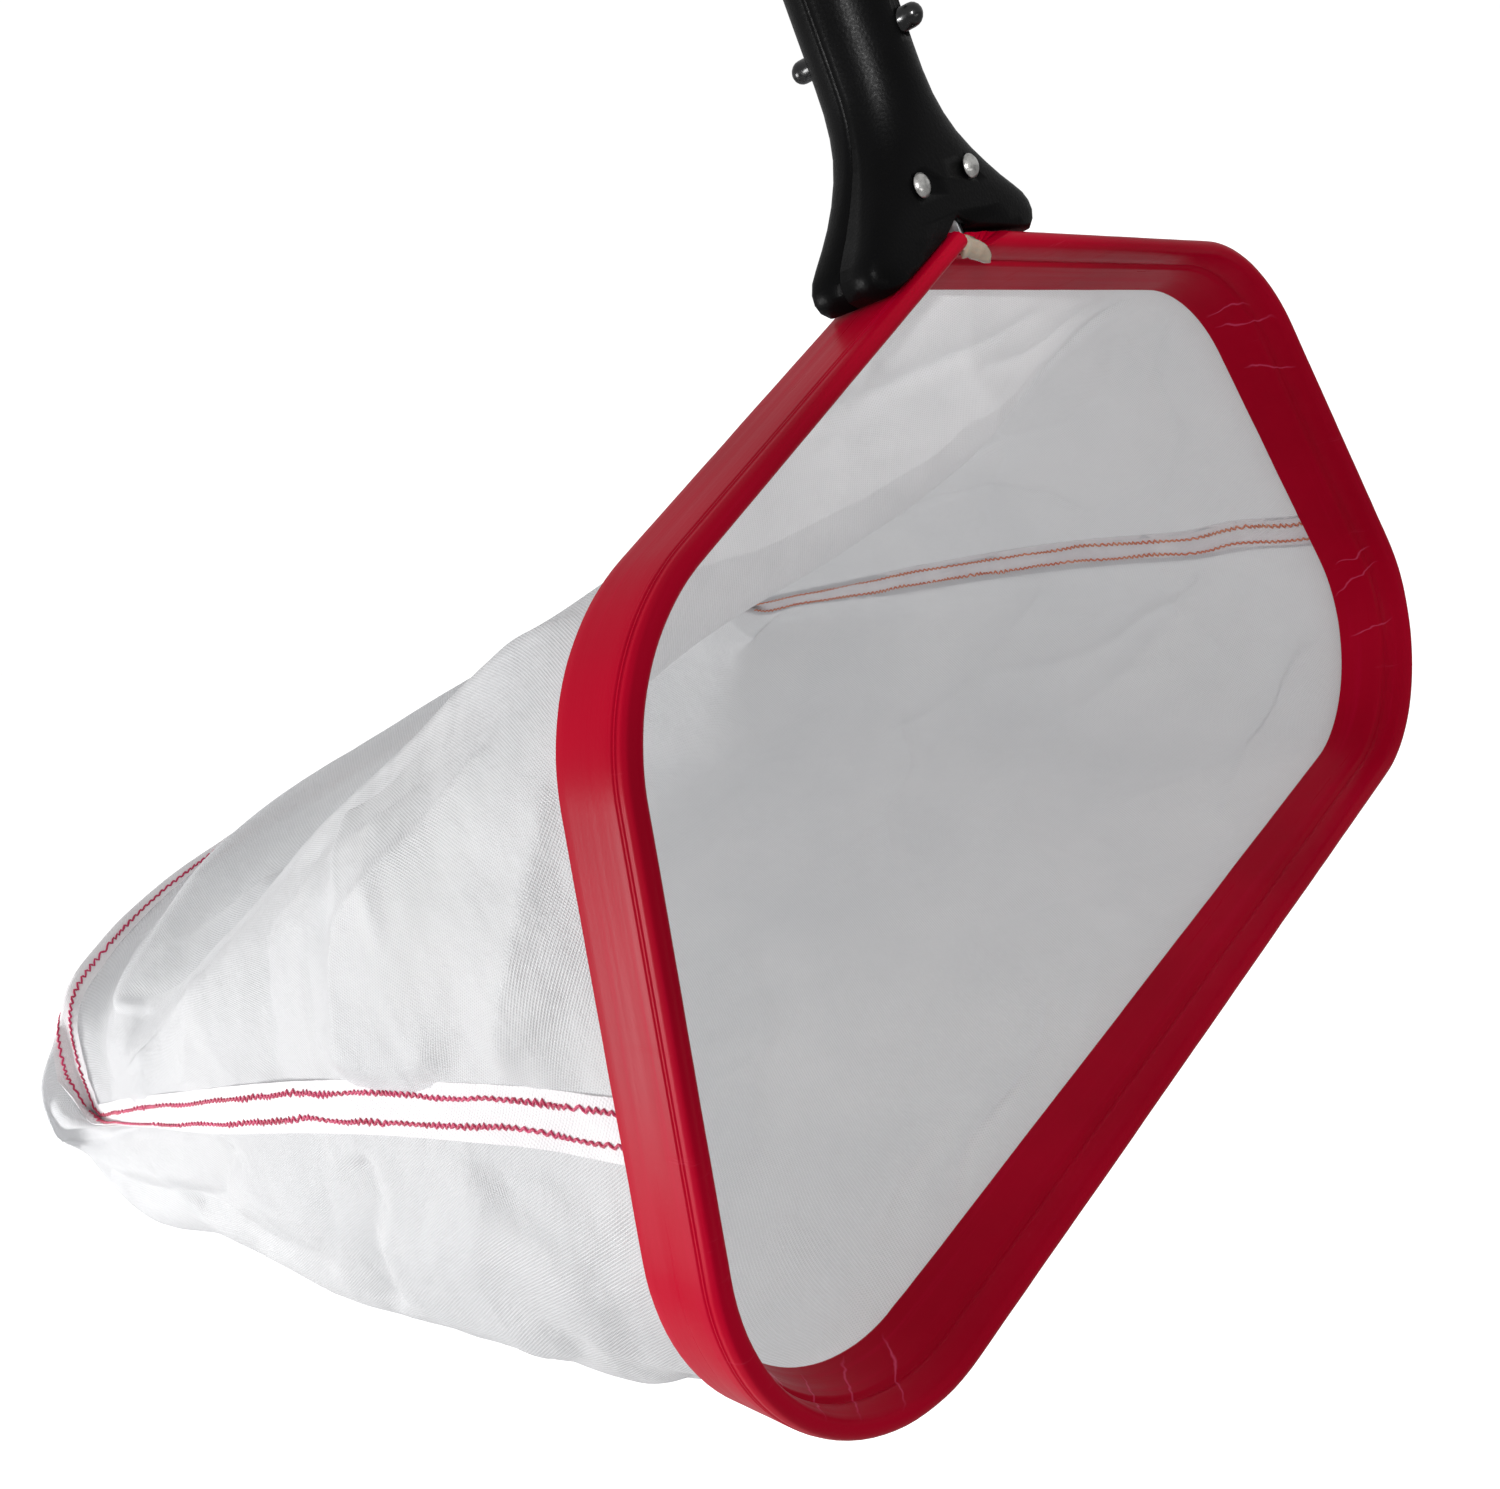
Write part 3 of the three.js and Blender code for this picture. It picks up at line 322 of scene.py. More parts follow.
def slab(G, t, shift=0.0):
    """Closed thin slab round a grid of mid points: vertices and faces."""
    n = normals_of(G)
    r, c = G.shape[:2]
    a, b = G + n * (shift + t / 2), G + n * (shift - t / 2)
    verts = np.concatenate([a.reshape(-1, 3), b.reshape(-1, 3)])
    faces = grid_faces(r, c)
    lower = [tuple(reversed([i + r * c for i in f])) for f in faces]
    rim = [i for i in range(c)] + [k * c + c - 1 for k in range(1, r)] + [(r - 1) * c + j for j in range(c - 2, -1, -1)] + [k * c for k in range(r - 2, 0, -1)]
    side = [(rim[k], rim[(k + 1) % len(rim)], rim[(k + 1) % len(rim)] + r * c, rim[k] + r * c) for k in range(len(rim))]
    faces = faces + lower + [tuple(reversed(s)) for s in side]
    return verts, outward(verts, faces)


def fillet(poly, dist, n=3):
    """Rounds each corner of a closed polygon by a curve that starts dist before it."""
    P = np.asarray(poly, float)
    out = []
    for k in range(len(P)):
        a, b, c = P[k - 1], P[k], P[(k + 1) % len(P)]
        la, lc = np.linalg.norm(a - b), np.linalg.norm(c - b)
        d = min(dist[k] if hasattr(dist, "__len__") else dist, 0.42 * la, 0.42 * lc)
        if d < 1e-3:
            out.append(b)
            continue
        s, e = b + (a - b) / la * d, b + (c - b) / lc * d
        for q in range(n + 1):
            t = q / n
            out.append((1 - t) ** 2 * s + 2 * t * (1 - t) * b + t * t * e)
    return np.array(out)


def cap(section):
    return [tuple(t) for t in tessellate_polygon([[Vector((p[0], p[1], 0)) for p in section]])]


def tube(path, radius, sides=6, closed=False):
    """Round tube along a list of points: vertices and faces, capped."""
    P = np.asarray(path, float)
    n = len(P)
    T = np.roll(P, -1, 0) - np.roll(P, 1, 0) if closed else np.gradient(P, axis=0)
    T /= np.maximum(np.linalg.norm(T, axis=1, keepdims=True), 1e-9)
    ref = np.array([0, 0, 1.0]) if abs(T[0][2]) < 0.9 else np.array([1.0, 0, 0])
    N = np.zeros_like(P)
    u = np.cross(T[0], ref)
    u /= np.linalg.norm(u)
    for i in range(n):
        u = u - T[i] * np.dot(u, T[i])
        u /= max(np.linalg.norm(u), 1e-9)
        N[i] = u
    B = np.cross(T, N)
    R = np.asarray(radius, float) * np.ones(n)
    a = np.arange(sides) * 2 * math.pi / sides
    V = P[:, None, :] + R[:, None, None] * (np.cos(a)[None, :, None] * N[:, None, :] + np.sin(a)[None, :, None] * B[:, None, :])
    faces = grid_faces(n, sides, closed_r=closed, closed_c=True)
    if not closed:
        faces += [tuple(range(sides)), tuple(range((n - 1) * sides + sides - 1, (n - 1) * sides - 1, -1))]
    V = V.reshape(-1, 3)
    return V, outward(V, faces)


def lathe(profile, axis_point, axis_dir, seg=40):
    """Solid of revolution: profile is (radius, height) from end to end, both ends on the axis."""
    d = np.asarray(axis_dir, float)
    d /= np.linalg.norm(d)
    ref = np.array([0, 0, 1.0]) if abs(d[2]) < 0.9 else np.array([1.0, 0, 0])
    e1 = np.cross(d, ref)
    e1 /= np.linalg.norm(e1)
    e2 = np.cross(d, e1)
    verts, rings, faces = [], [], []
    for r, h in profile:
        c = np.asarray(axis_point, float) + d * h
        if r < 1e-6:
            rings.append([len(verts)])
            verts.append(c)
        else:
            rings.append(list(range(len(verts), len(verts) + seg)))
            for k in range(seg):
                a = 2 * math.pi * k / seg
                verts.append(c + r * (math.cos(a) * e1 + math.sin(a) * e2))
    for A, B in zip(rings[:-1], rings[1:]):
        for k in range(seg):
            k2 = (k + 1) % seg
            if len(A) == 1 and len(B) == 1:
                continue
            if len(A) == 1:
                faces.append((A[0], B[k2], B[k]))
            elif len(B) == 1:
                faces.append((A[k], A[k2], B[0]))
            else:
                faces.append((A[k], A[k2], B[k2], B[k]))
    verts = np.array(verts)
    return verts, outward(verts, faces)


def merge(parts):
    V, Fc, base = [], [], 0
    for v, f in parts:
        V.append(np.asarray(v, float))
        Fc += [tuple(i + base for i in q) for q in f]
        base += len(v)
    return np.concatenate(V), Fc


# ------------------------------------------------------------------ materials
class Mat:
    """Short way to write a node material."""

    def __init__(self, name):
        self.m = bpy.data.materials.new(name)
        self.m.use_nodes = True
        self.nt = self.m.node_tree
        self.nt.nodes.clear()
        self.out = self.nt.nodes.new("ShaderNodeOutputMaterial")
        self.p = self.nt.nodes.new("ShaderNodeBsdfPrincipled")
        self.nt.links.new(self.p.outputs[0], self.out.inputs[0])
        self.obj = self.nt.nodes.new("ShaderNodeTexCoord").outputs["Object"]
        self.uv = self.nt.nodes.new("ShaderNodeTexCoord").outputs["UV"]

    def set(self, **kw):
        for k, v in kw.items():
            s = self.p.inputs[k.replace("_", " ")]
            if isinstance(v, bpy.types.NodeSocket):
                self.nt.links.new(v, s)
            else:
                s.default_value = v
        return self

    def node(self, kind, ins=(), **props):
        n = self.nt.nodes.new(kind)
        for k, v in props.items():
            setattr(n, k, v)
        for k, v in dict(ins).items():
            s = n.inputs[k]
            if isinstance(v, bpy.types.NodeSocket):
                self.nt.links.new(v, s)
            else:
                s.default_value = v
        return n

    def math(self, op, a, b=0.0, c=0.0, clamp=False):
        n = self.node("ShaderNodeMath", {0: a, 1: b, 2: c}, operation=op, use_clamp=clamp)
        return n.outputs[0]

    def mapping(self, src, scale=(1, 1, 1), loc=(0, 0, 0), rot=(0, 0, 0)):
        return self.node("ShaderNodeMapping", {"Vector": src, "Scale": scale, "Location": loc, "Rotation": rot}).outputs[0]

    def noise(self, src, scale, detail=3.0, rough=0.55, dist=0.0):
        return self.node("ShaderNodeTexNoise", {"Vector": src, "Scale": scale, "Detail": detail, "Roughness": rough, "Distortion": dist}).outputs[0]

    def ramp(self, fac, stops):
        n = self.node("ShaderNodeValToRGB", {0: fac})
        el = n.color_ramp.elements
        while len(el) < len(stops):
            el.new(0.5)
        for e, (pos, col) in zip(el, stops):
            e.position = pos
            e.color = (*col, 1) if len(col) == 3 else col
        return n.outputs[0]

    def mix(self, fac, a, b):
        n = self.node("ShaderNodeMix", {}, data_type="RGBA")
        for k, v in ((0, fac), (6, a), (7, b)):
            s = n.inputs[k]
            if isinstance(v, bpy.types.NodeSocket):
                self.nt.links.new(v, s)
            else:
                s.default_value = v if k == 0 else ((*v, 1) if len(v) == 3 else v)
        return n.outputs[2]

    def remap(self, v, a, b, c, d):
        return self.node("ShaderNodeMapRange", {0: v, 1: a, 2: b, 3: c, 4: d}).outputs[0]

    def bump(self, height, strength=0.3, distance=0.0003, normal=None):
        ins = {"Height": height, "Strength": strength, "Distance": distance}
        if normal is not None:
            ins["Normal"] = normal
        return self.node("ShaderNodeBump", ins).outputs[0]


def srgb(r, g, b):
    return tuple((c / 255 / 12.92) if c / 255 <= 0.04045 else ((c / 255 + 0.055) / 1.055) ** 2.4 for c in (r, g, b))


def path_place(x, z):
    """Distance along the lip, in metres, of the outline point nearest to (x, z), from the apex down the right side."""
    ss = np.linspace(0, 2 * HALF_LEN, 1600)
    pts = np.array([outline(t if t <= HALF_LEN else t - 2 * HALF_LEN)[:2] for t in ss])
    return float(ss[np.argmin(np.hypot(pts[:, 0] - x, pts[:, 1] - z))]) / 1000


LIP_CREASES = [
    (path_place(-168, 0), 0.046, 0.9, 0.013), (path_place(-186, 0), 0.047, 0.8, 0.014),
    (path_place(-205, 3), 0.045, 0.6, 0.013), (path_place(-219, 8), 0.050, 0.2, 0.006),
    (path_place(246, 92), 0.050, -0.5, 0.012), (path_place(243, 104), 0.048, -0.3, 0.009),
    (path_place(250, 60), 0.048, -0.4, 0.010), (path_place(200, 232), 0.047, 0.3, 0.012),
    (path_place(215, 205), 0.046, 0.4, 0.010), (path_place(188, 240), 0.050, 0.2, 0.009),
]


def pvc():
    k = Mat("lip_pvc")
    along = k.mapping(k.uv, scale=(6, 260, 1))
    streak = k.noise(along, 1.0, 4, 0.6)
    cloud = k.noise(k.obj, 9.0, 3, 0.5)
    fine = k.noise(k.obj, 900.0, 2, 0.6)
    base = k.mix(k.remap(cloud, 0.3, 0.7, 0, 1), srgb(188, 1, 40), srgb(164, 1, 32))
    base = k.mix(k.math("MULTIPLY", k.remap(streak, 0.55, 0.75, 0, 1), 0.35), base, srgb(204, 8, 58))
    scuff = k.noise(k.mapping(k.obj, scale=(30, 30, 300)), 1.0, 5, 0.7)
    base = k.mix(k.math("MULTIPLY", k.remap(scuff, 0.66, 0.8, 0, 1), 0.3), base, srgb(224, 84, 110))
    rough = k.math("ADD", k.remap(streak, 0.3, 0.7, 0.26, 0.40), k.math("MULTIPLY", k.remap(scuff, 0.6, 0.8, 0, 1), 0.15))
    h = k.math("ADD", k.math("MULTIPLY", streak, 0.6), k.math("MULTIPLY", fine, 0.25))
    # thin whitened creases across the inner wall: place along, place across, slant, half length
    sep = k.node("ShaderNodeSeparateXYZ", {0: k.uv})
    wob = k.math("MULTIPLY", k.math("SUBTRACT", k.noise(k.uv, 90.0, 2, 0.5), 0.5), 0.010)
    marks = None
    for a0, v0, slant, half in LIP_CREASES:
        q = k.math("SUBTRACT", sep.outputs[0], a0)
        w = k.math("SUBTRACT", sep.outputs[1], v0)
        line = k.math("ABSOLUTE", k.math("ADD", k.math("ADD", q, wob), k.math("MULTIPLY", w, slant)))
        m = k.math("MULTIPLY", k.remap(line, 0.0, 0.0007, 1, 0), k.remap(k.math("ABSOLUTE", w), half * 0.5, half, 1, 0))
        marks = m if marks is None else k.math("MAXIMUM", marks, m)
    base = k.mix(k.math("MULTIPLY", marks, 0.75), base, srgb(222, 78, 118))
    h = k.math("ADD", h, k.math("MULTIPLY", marks, 1.6))
    k.set(Base_Color=base, Roughness=rough, Normal=k.bump(h, 0.25, 0.0004), IOR=1.53, Specular_IOR_Level=0.04)
    k.set(Subsurface_Weight=0.0)
    return k.m


def aluminium(name="band_aluminium", tone=(196, 198, 200), rough=0.36):
    k = Mat(name)
    brush = k.noise(k.mapping(k.obj, scale=(40, 900, 40)), 1.0, 4, 0.6)
    fine = k.noise(k.obj, 1400, 2, 0.5)
    base = k.mix(k.remap(brush, 0.3, 0.7, 0, 1), srgb(*tone), srgb(*[c - 34 for c in tone]))
    k.set(Base_Color=base, Metallic=1.0, Roughness=k.remap(brush, 0.25, 0.75, rough - 0.1, rough + 0.12),
          Normal=k.bump(k.math("ADD", brush, k.math("MULTIPLY", fine, 0.3)), 0.2, 0.0002))
    return k.m


def nylon():
    k = Mat("yoke_nylon")
    grain = k.noise(k.obj, 1500, 3, 0.7)
    spark = k.node("ShaderNodeTexVoronoi", {"Vector": k.obj, "Scale": 900.0}, feature="F1").outputs["Distance"]
    cloud = k.noise(k.obj, 60, 3, 0.5)
    base = k.mix(cloud, srgb(4, 4, 4), srgb(9, 9, 10))
    h = k.math("ADD", k.math("MULTIPLY", grain, 1.0), k.math("MULTIPLY", spark, 0.8))
    rough = k.math("ADD", k.remap(grain, 0.35, 0.65, 0.26, 0.42), k.math("MULTIPLY", cloud, 0.06))
    k.set(Base_Color=base, Roughness=rough, Normal=k.bump(h, 0.5, 0.00010), IOR=1.5, Specular_IOR_Level=0.055)
    return k.m


def weave(k, pitch=0.00092):
    """Threads of a plain weave on metric UVs turned a little off the cut: heights of both sets."""
    uv = k.mapping(k.uv, rot=(0, 0, math.radians(31)))
    sep = k.node("ShaderNodeSeparateXYZ", {0: uv})
    w = 2 * math.pi / pitch
    a = k.math("SINE", k.math("MULTIPLY", sep.outputs[0], w))
    b = k.math("SINE", k.math("MULTIPLY", sep.outputs[1], w))
    return a, b


def mesh_cloth():
    k = Mat("bag_mesh")
    a, b = weave(k)
    thread = k.math("MAXIMUM", a, b)
    open_ = k.remap(thread, -0.85, 0.25, 1.0, 0.0)
    crinkle = k.math("ADD", k.math("MULTIPLY", k.noise(k.obj, 60, 3, 0.5), 0.45), k.math("MULTIPLY", k.noise(k.obj, 16, 2, 0.45, 0.5), 2.6))
    # painted glints: bright white streaks in patches, mixed into the base colour, stand in for highlights off the
    # threads; the same mask also lowers the roughness
    painted_glint = k.remap(k.noise(k.mapping(k.uv, rot=(0, 0, 0.54), scale=(1500, 320, 1)), 1.0, 2, 0.6), 0.6, 0.72, 0, 1)
    painted_glint_patch = k.remap(k.noise(k.obj, 17, 3, 0.6), 0.5, 0.66, 0, 1)
    painted_glint = k.math("MULTIPLY", painted_glint, painted_glint_patch)
    spark = k.noise(k.mapping(k.uv, rot=(0, 0, 0.54), scale=(500, 60, 1)), 1.0, 4, 0.7)
    cloud = k.noise(k.obj, 14, 3, 0.5)
    base = k.mix(k.remap(cloud, 0.3, 0.7, 0, 1), srgb(250, 250, 251), srgb(238, 239, 241))
    # painted sparkle: the diagonal streak noise lightens the base colour towards white; the same streaks also drive the
    # bump and roughness
    base = k.mix(k.math("MULTIPLY", k.remap(spark, 0.6, 0.8, 0, 1), 0.6), base, srgb(252, 252, 253))
    base = k.mix(painted_glint, base, srgb(255, 255, 255))
    draped = k.bump(crinkle, 0.7, 0.0050)
    nrm = k.bump(k.math("ADD", k.math("MULTIPLY", thread, 0.35), k.math("MULTIPLY", spark, 0.7)), 0.4, 0.0009, draped)
    k.set(Base_Color=base, Roughness=k.math("SUBTRACT", k.remap(spark, 0.4, 0.7, 0.40, 0.60), k.math("MULTIPLY", painted_glint, 0.15)), Normal=nrm, Sheen_Weight=0.25, Sheen_Roughness=0.4, Specular_IOR_Level=0.6)
    trans = k.node("ShaderNodeBsdfTranslucent", {"Color": (*srgb(244, 245, 247), 1), "Normal": nrm})
    body = k.node("ShaderNodeMixShader", {0: 0.34, 1: k.p.outputs[0], 2: trans.outputs[0]})
    clear = k.node("ShaderNodeBsdfTransparent", {"Color": (1, 1, 1, 1)})
    share = k.math("ADD", 0.04, k.math("MULTIPLY", open_, 0.17))
    fin = k.node("ShaderNodeMixShader", {0: share, 1: body.outputs[0], 2: clear.outputs[0]})
    k.nt.links.new(fin.outputs[0], k.out.inputs[0])
    return k.m


def cotton(name, light, dark, pitch=0.0011, sheen=0.3):
    k = Mat(name)
    a, b = weave(k, pitch)
    fuzz = k.noise(k.obj, 1600, 3, 0.7)
    cloud = k.noise(k.obj, 40, 4, 0.6)
    base = k.mix(k.remap(cloud, 0.3, 0.75, 0, 1), light, dark)
    h = k.math("ADD", k.math("MULTIPLY", k.math("ADD", a, b), 0.25), fuzz)
    k.set(Base_Color=base, Roughness=k.remap(fuzz, 0.3, 0.7, 0.7, 0.9), Sheen_Weight=sheen, Normal=k.bump(h, 0.5, 0.0003))
    return k.m


def thread_mat(name, c1, c2):
    k = Mat(name)
    twist = k.noise(k.mapping(k.obj, scale=(1, 1, 1)), 1300, 3, 0.6)
    cloud = k.noise(k.obj, 90, 3, 0.5)
    base = k.mix(k.remap(cloud, 0.35, 0.65, 0, 1), c1, c2)
    k.set(Base_Color=base, Roughness=k.remap(twist, 0.3, 0.7, 0.5, 0.75), Sheen_Weight=0.3, Normal=k.bump(twist, 0.5, 0.0003))
    return k.m


def sealant():
    k = Mat("filler")
    n = k.noise(k.obj, 300, 4, 0.6)
    base = k.mix(n, srgb(186, 170, 150), srgb(134, 120, 104))
    k.set(Base_Color=base, Roughness=k.remap(n, 0.3, 0.7, 0.08, 0.2), Normal=k.bump(n, 0.4, 0.0006), Coat_Weight=0.6,
          Coat_Roughness=0.05, Subsurface_Weight=0.25, Subsurface_Scale=0.003)
    return k.m


def metal(name, tone, rough, wear=0.2):
    k = Mat(name)
    n = k.noise(k.obj, 500, 4, 0.65)
    s = k.noise(k.mapping(k.obj, scale=(200, 200, 900)), 1.0, 3, 0.6)
    base = k.mix(k.math("MULTIPLY", k.remap(n, 0.45, 0.7, 0, 1), wear), srgb(*tone), srgb(70, 70, 70))
    k.set(Base_Color=base, Metallic=1.0, Roughness=k.remap(s, 0.3, 0.7, rough, rough + 0.18), Normal=k.bump(n, 0.35, 0.0003))
    return k.m


def button_mat():
    k = Mat("button_plastic")
    n = k.noise(k.obj, 900, 3, 0.6)
    base = k.mix(n, srgb(4, 4, 5), srgb(12, 12, 13))
    k.set(Base_Color=base, Roughness=k.remap(n, 0.3, 0.7, 0.16, 0.3), Normal=k.bump(n, 0.2, 0.0002))
    return k.m


M = {
    "lip": pvc(), "band": aluminium(), "nylon": nylon(), "mesh": mesh_cloth(),
    "tape": cotton("tape", srgb(250, 248, 249), srgb(236, 232, 235)),
    "hem": cotton("hem_webbing", srgb(206, 192, 178), srgb(176, 160, 146), 0.0014, 0.2),
    "thread": thread_mat("thread", srgb(190, 24, 74), srgb(214, 48, 104)),
    "thread_in": thread_mat("thread_bobbin", srgb(226, 128, 98), srgb(236, 160, 128)),
    "filler": sealant(), "rivet": metal("rivet_metal", (206, 205, 202), 0.22, 0.5),
    "spring": metal("spring_steel", (168, 170, 172), 0.28, 0.2), "button": button_mat(),
}


def dress(node, mat):
    o = NODES[node]
    o.data.materials.clear()
    o.data.materials.append(mat)
    if "custom_normal" in o.data.attributes:
        o.data.attributes.remove(o.data.attributes["custom_normal"])
    o.data.polygons.foreach_set("use_smooth", np.ones(len(o.data.polygons), bool))
    w = o.modifiers.new("weld", "WELD")
    w.merge_threshold = 0.00001
    o.data.set_sharp_from_angle(angle=math.radians(38))


dress("frame_band", M["band"])
dress("hem_binding", M["hem"])
for n in ("yoke_front_half", "yoke_back_half"):
    dress(n, M["nylon"])
for n in ("rivet_left", "rivet_right", "rivet_washer_left", "rivet_washer_right"):
    dress(n, M["rivet"])
for n in ("clip_bend", "clip_leg_front", "clip_leg_back"):
    dress(n, M["spring"])
for n in ("clip_button_front", "clip_button_back"):
    dress(n, M["button"])

# ------------------------------------------------------------------ lip
LIP_SECTION = [
    [0, 29.0], [0, 6.4], [0.34, 5.75], [0.0, 5.1], [0.36, 4.5], [0.3, 3.2],
    [1.1, 1.15], [2.6, 0.15], [4.4, 0.1], [5.7, 1.1], [6.3, 2.8],
    [7.0, 6.5], [7.2, 9.4], [6.8, 11.2], [8.3, 12.2],
    [11.2, 28.2], [11.0, 29.0], [9.5, 29.0],
    [6.65, 13.0], [4.35, 9.5], [4.35, 5.6], [1.6, 5.6], [1.6, 29.0],
]
LIP_FIL = [0.3, 0.3, 0.2, 0.2, 0.3, 0.8, 0.9, 0.8, 0.8, 0.8, 0.9, 1.0, 0.8, 0.5, 0.7, 0.3, 0.3, 0.3, 0.6, 0.5, 0.3, 0.3, 0.3]


def lip():
    sec = fillet(LIP_SECTION, LIP_FIL, 3)
    # more points on the long flat walls, so that small dents can follow
    dense = []
    for k in range(len(sec)):
        a, b = sec[k], sec[(k + 1) % len(sec)]
        n = max(1, int(np.linalg.norm(b - a) / 3.2))
        for q in range(n):
            dense.append(a + (b - a) * q / n)
    sec = np.array(dense)
    per = np.concatenate([[0], np.cumsum(np.linalg.norm(np.diff(np.vstack([sec, sec[:1]]), axis=0), axis=1))])
    counts = [30, 26, 22, 30, 26]
    ss, s0 = [0.0], 0.0
    for g, c in zip(SEG, counts):
        ss += [s0 + g[4] * (k + 1) / c for k in range(c)]
        s0 += g[4]
    S = 46.0
    ss = sorted(set([x for x in ss if x > S] + [S * (k / 16) ** 1.3 for k in range(17)]))
    o, y = sec[:, 0], sec[:, 1]
    ang = np.arange(len(sec))
    # left end: a clean mitre; right end: torn on a slant
    left = 1.9 + 0.25 * vnoise(np.stack([ang * 0.7, ang * 0, ang * 0], 1)) + 0.5 * smooth((y - 6) / 20)
    front = 1 - smooth((y - 1.5) / 8.0)
    torn = 4.0 + 22.0 * front * (1 - smooth((o - 0.5) / 8.5)) + 2.6 * (1 - smooth(o / 5)) * smooth((y - 6) / 10)
    torn = torn + 0.9 * vnoise(np.stack([ang * 0.9, ang * 0 + 3, ang * 0], 1)) + 0.5 * vnoise(np.stack([ang * 2.1, ang * 0 + 9, ang * 0], 1))
    rings = []

    def ring(sgn, s, start):
        pts = np.zeros((len(sec), 3))
        for k in range(len(sec)):
            d = start[k] + s * (S - start[k]) / S if s < S else s
            pts[k] = off(sgn * d, o[k], y[k])
        return pts

    right = [ring(1, s, torn) for s in ss]
    leftr = [ring(-1, s, left) for s in ss[:-1]]
    rings = right + leftr[::-1]
    G = np.array(rings)
    R, C = G.shape[:2]
    # gentle unevenness of a hand-fitted extrusion
    cen = G.mean(1, keepdims=True)
    d = G - cen
    d /= np.maximum(np.linalg.norm(d, axis=2, keepdims=True), 1e-6)
    amp = 0.10 * fbm(G / 46.0) + 0.05 * fbm(G / 9.0)
    # creases at the lower left inner corner and small bumps near the right side
    inner = smooth((sec[:, 0] - 6.0) / 2.0)[None, :] * np.ones((R, 1))
    for (cx, cz, ax, az, wd, am) in CREASES:
        px, pz = G[:, :, 0] - cx, G[:, :, 2] - cz
        q = px * ax + pz * az
        amp = amp + am * np.exp(-(q / wd) ** 2) * np.exp(-((px * az - pz * ax) / 26) ** 2) * inner * (0.6 + 0.4 * vnoise(G / 5))
    G = G + d * amp[:, :, None]
    verts = G.reshape(-1, 3)
    faces = grid_faces(R, C, closed_c=True)
    t = cap(sec)
    faces += [(a, c, b) for a, b, c in t] + [((R - 1) * C + a, (R - 1) * C + b, (R - 1) * C + c) for a, b, c in t]
    faces = outward(verts, faces)
    along = np.concatenate([[0], np.cumsum(np.linalg.norm(np.diff(cen[:, 0, :], axis=0), axis=1))])
    uv = np.stack([np.repeat(along, C) / 1000, np.tile(per[:-1], R) / 1000], axis=1)
    ob = make("lip_skin", verts, faces, [M["lip"]], uv, True, 50)
    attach(ob, "root")
    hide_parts("lip_extrusion")
    return ob


# centre x, z; direction across the crease; width; height
CREASES = [
    (-196, 14, 0.5, 0.87, 0.9, 0.35), (-186, 10, 0.35, 0.94, 0.8, 0.3), (-207, 22, 0.7, 0.7, 0.9, 0.3),
    (221, 120, 0.2, 0.98, 1.0, 0.25), (224, 106, 0.25, 0.97, 0.9, 0.25), (-170, 12, 0.6, 0.8, 0.8, 0.25),
]
lip_skin = lip()

# ------------------------------------------------------------------ bag panels
TAPE_W = 9.0
NU, NV = ((230, 190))


def crease(U, V, length, line, height, width, end_width=None, one_side=0.0):
    """Height field of a fold along a line of (u, v) points; it dies away on both sides, faster past one side if asked."""
    P = np.array([[u * length, v * 371.0] for u, v in line])
    X, Y = U * length, V * 371.0
    best = np.full(U.shape, 1e9)
    along = np.zeros(U.shape)
    side = np.ones(U.shape)
    seg = np.linalg.norm(np.diff(P, axis=0), axis=1)
    total, run = seg.sum(), 0.0
    for k in range(len(seg)):
        a, d = P[k], (P[k + 1] - P[k]) / seg[k]
        t = np.clip((X - a[0]) * d[0] + (Y - a[1]) * d[1], 0, seg[k])
        px, py = X - a[0] - d[0] * t, Y - a[1] - d[1] * t
        q = np.hypot(px, py)
        m = q < best
        best = np.where(m, q, best)
        along = np.where(m, (run + t) / total, along)
        side = np.where(m, np.sign(d[0] * py - d[1] * px), side)
        run += seg[k]
    w = 1.5 * (width + ((end_width or width) - width) * along)
    w = w * np.where(side > 0, 1.0, 1.0 - one_side)
    ends = smooth(along / 0.12 + 0.15) * smooth((1 - along) / 0.12 + 0.15)
    return 1.8 * height * (0.65 * np.exp(-best / w) + 0.35 * np.exp(-(best / (1.6 * w)) ** 2)) * ends


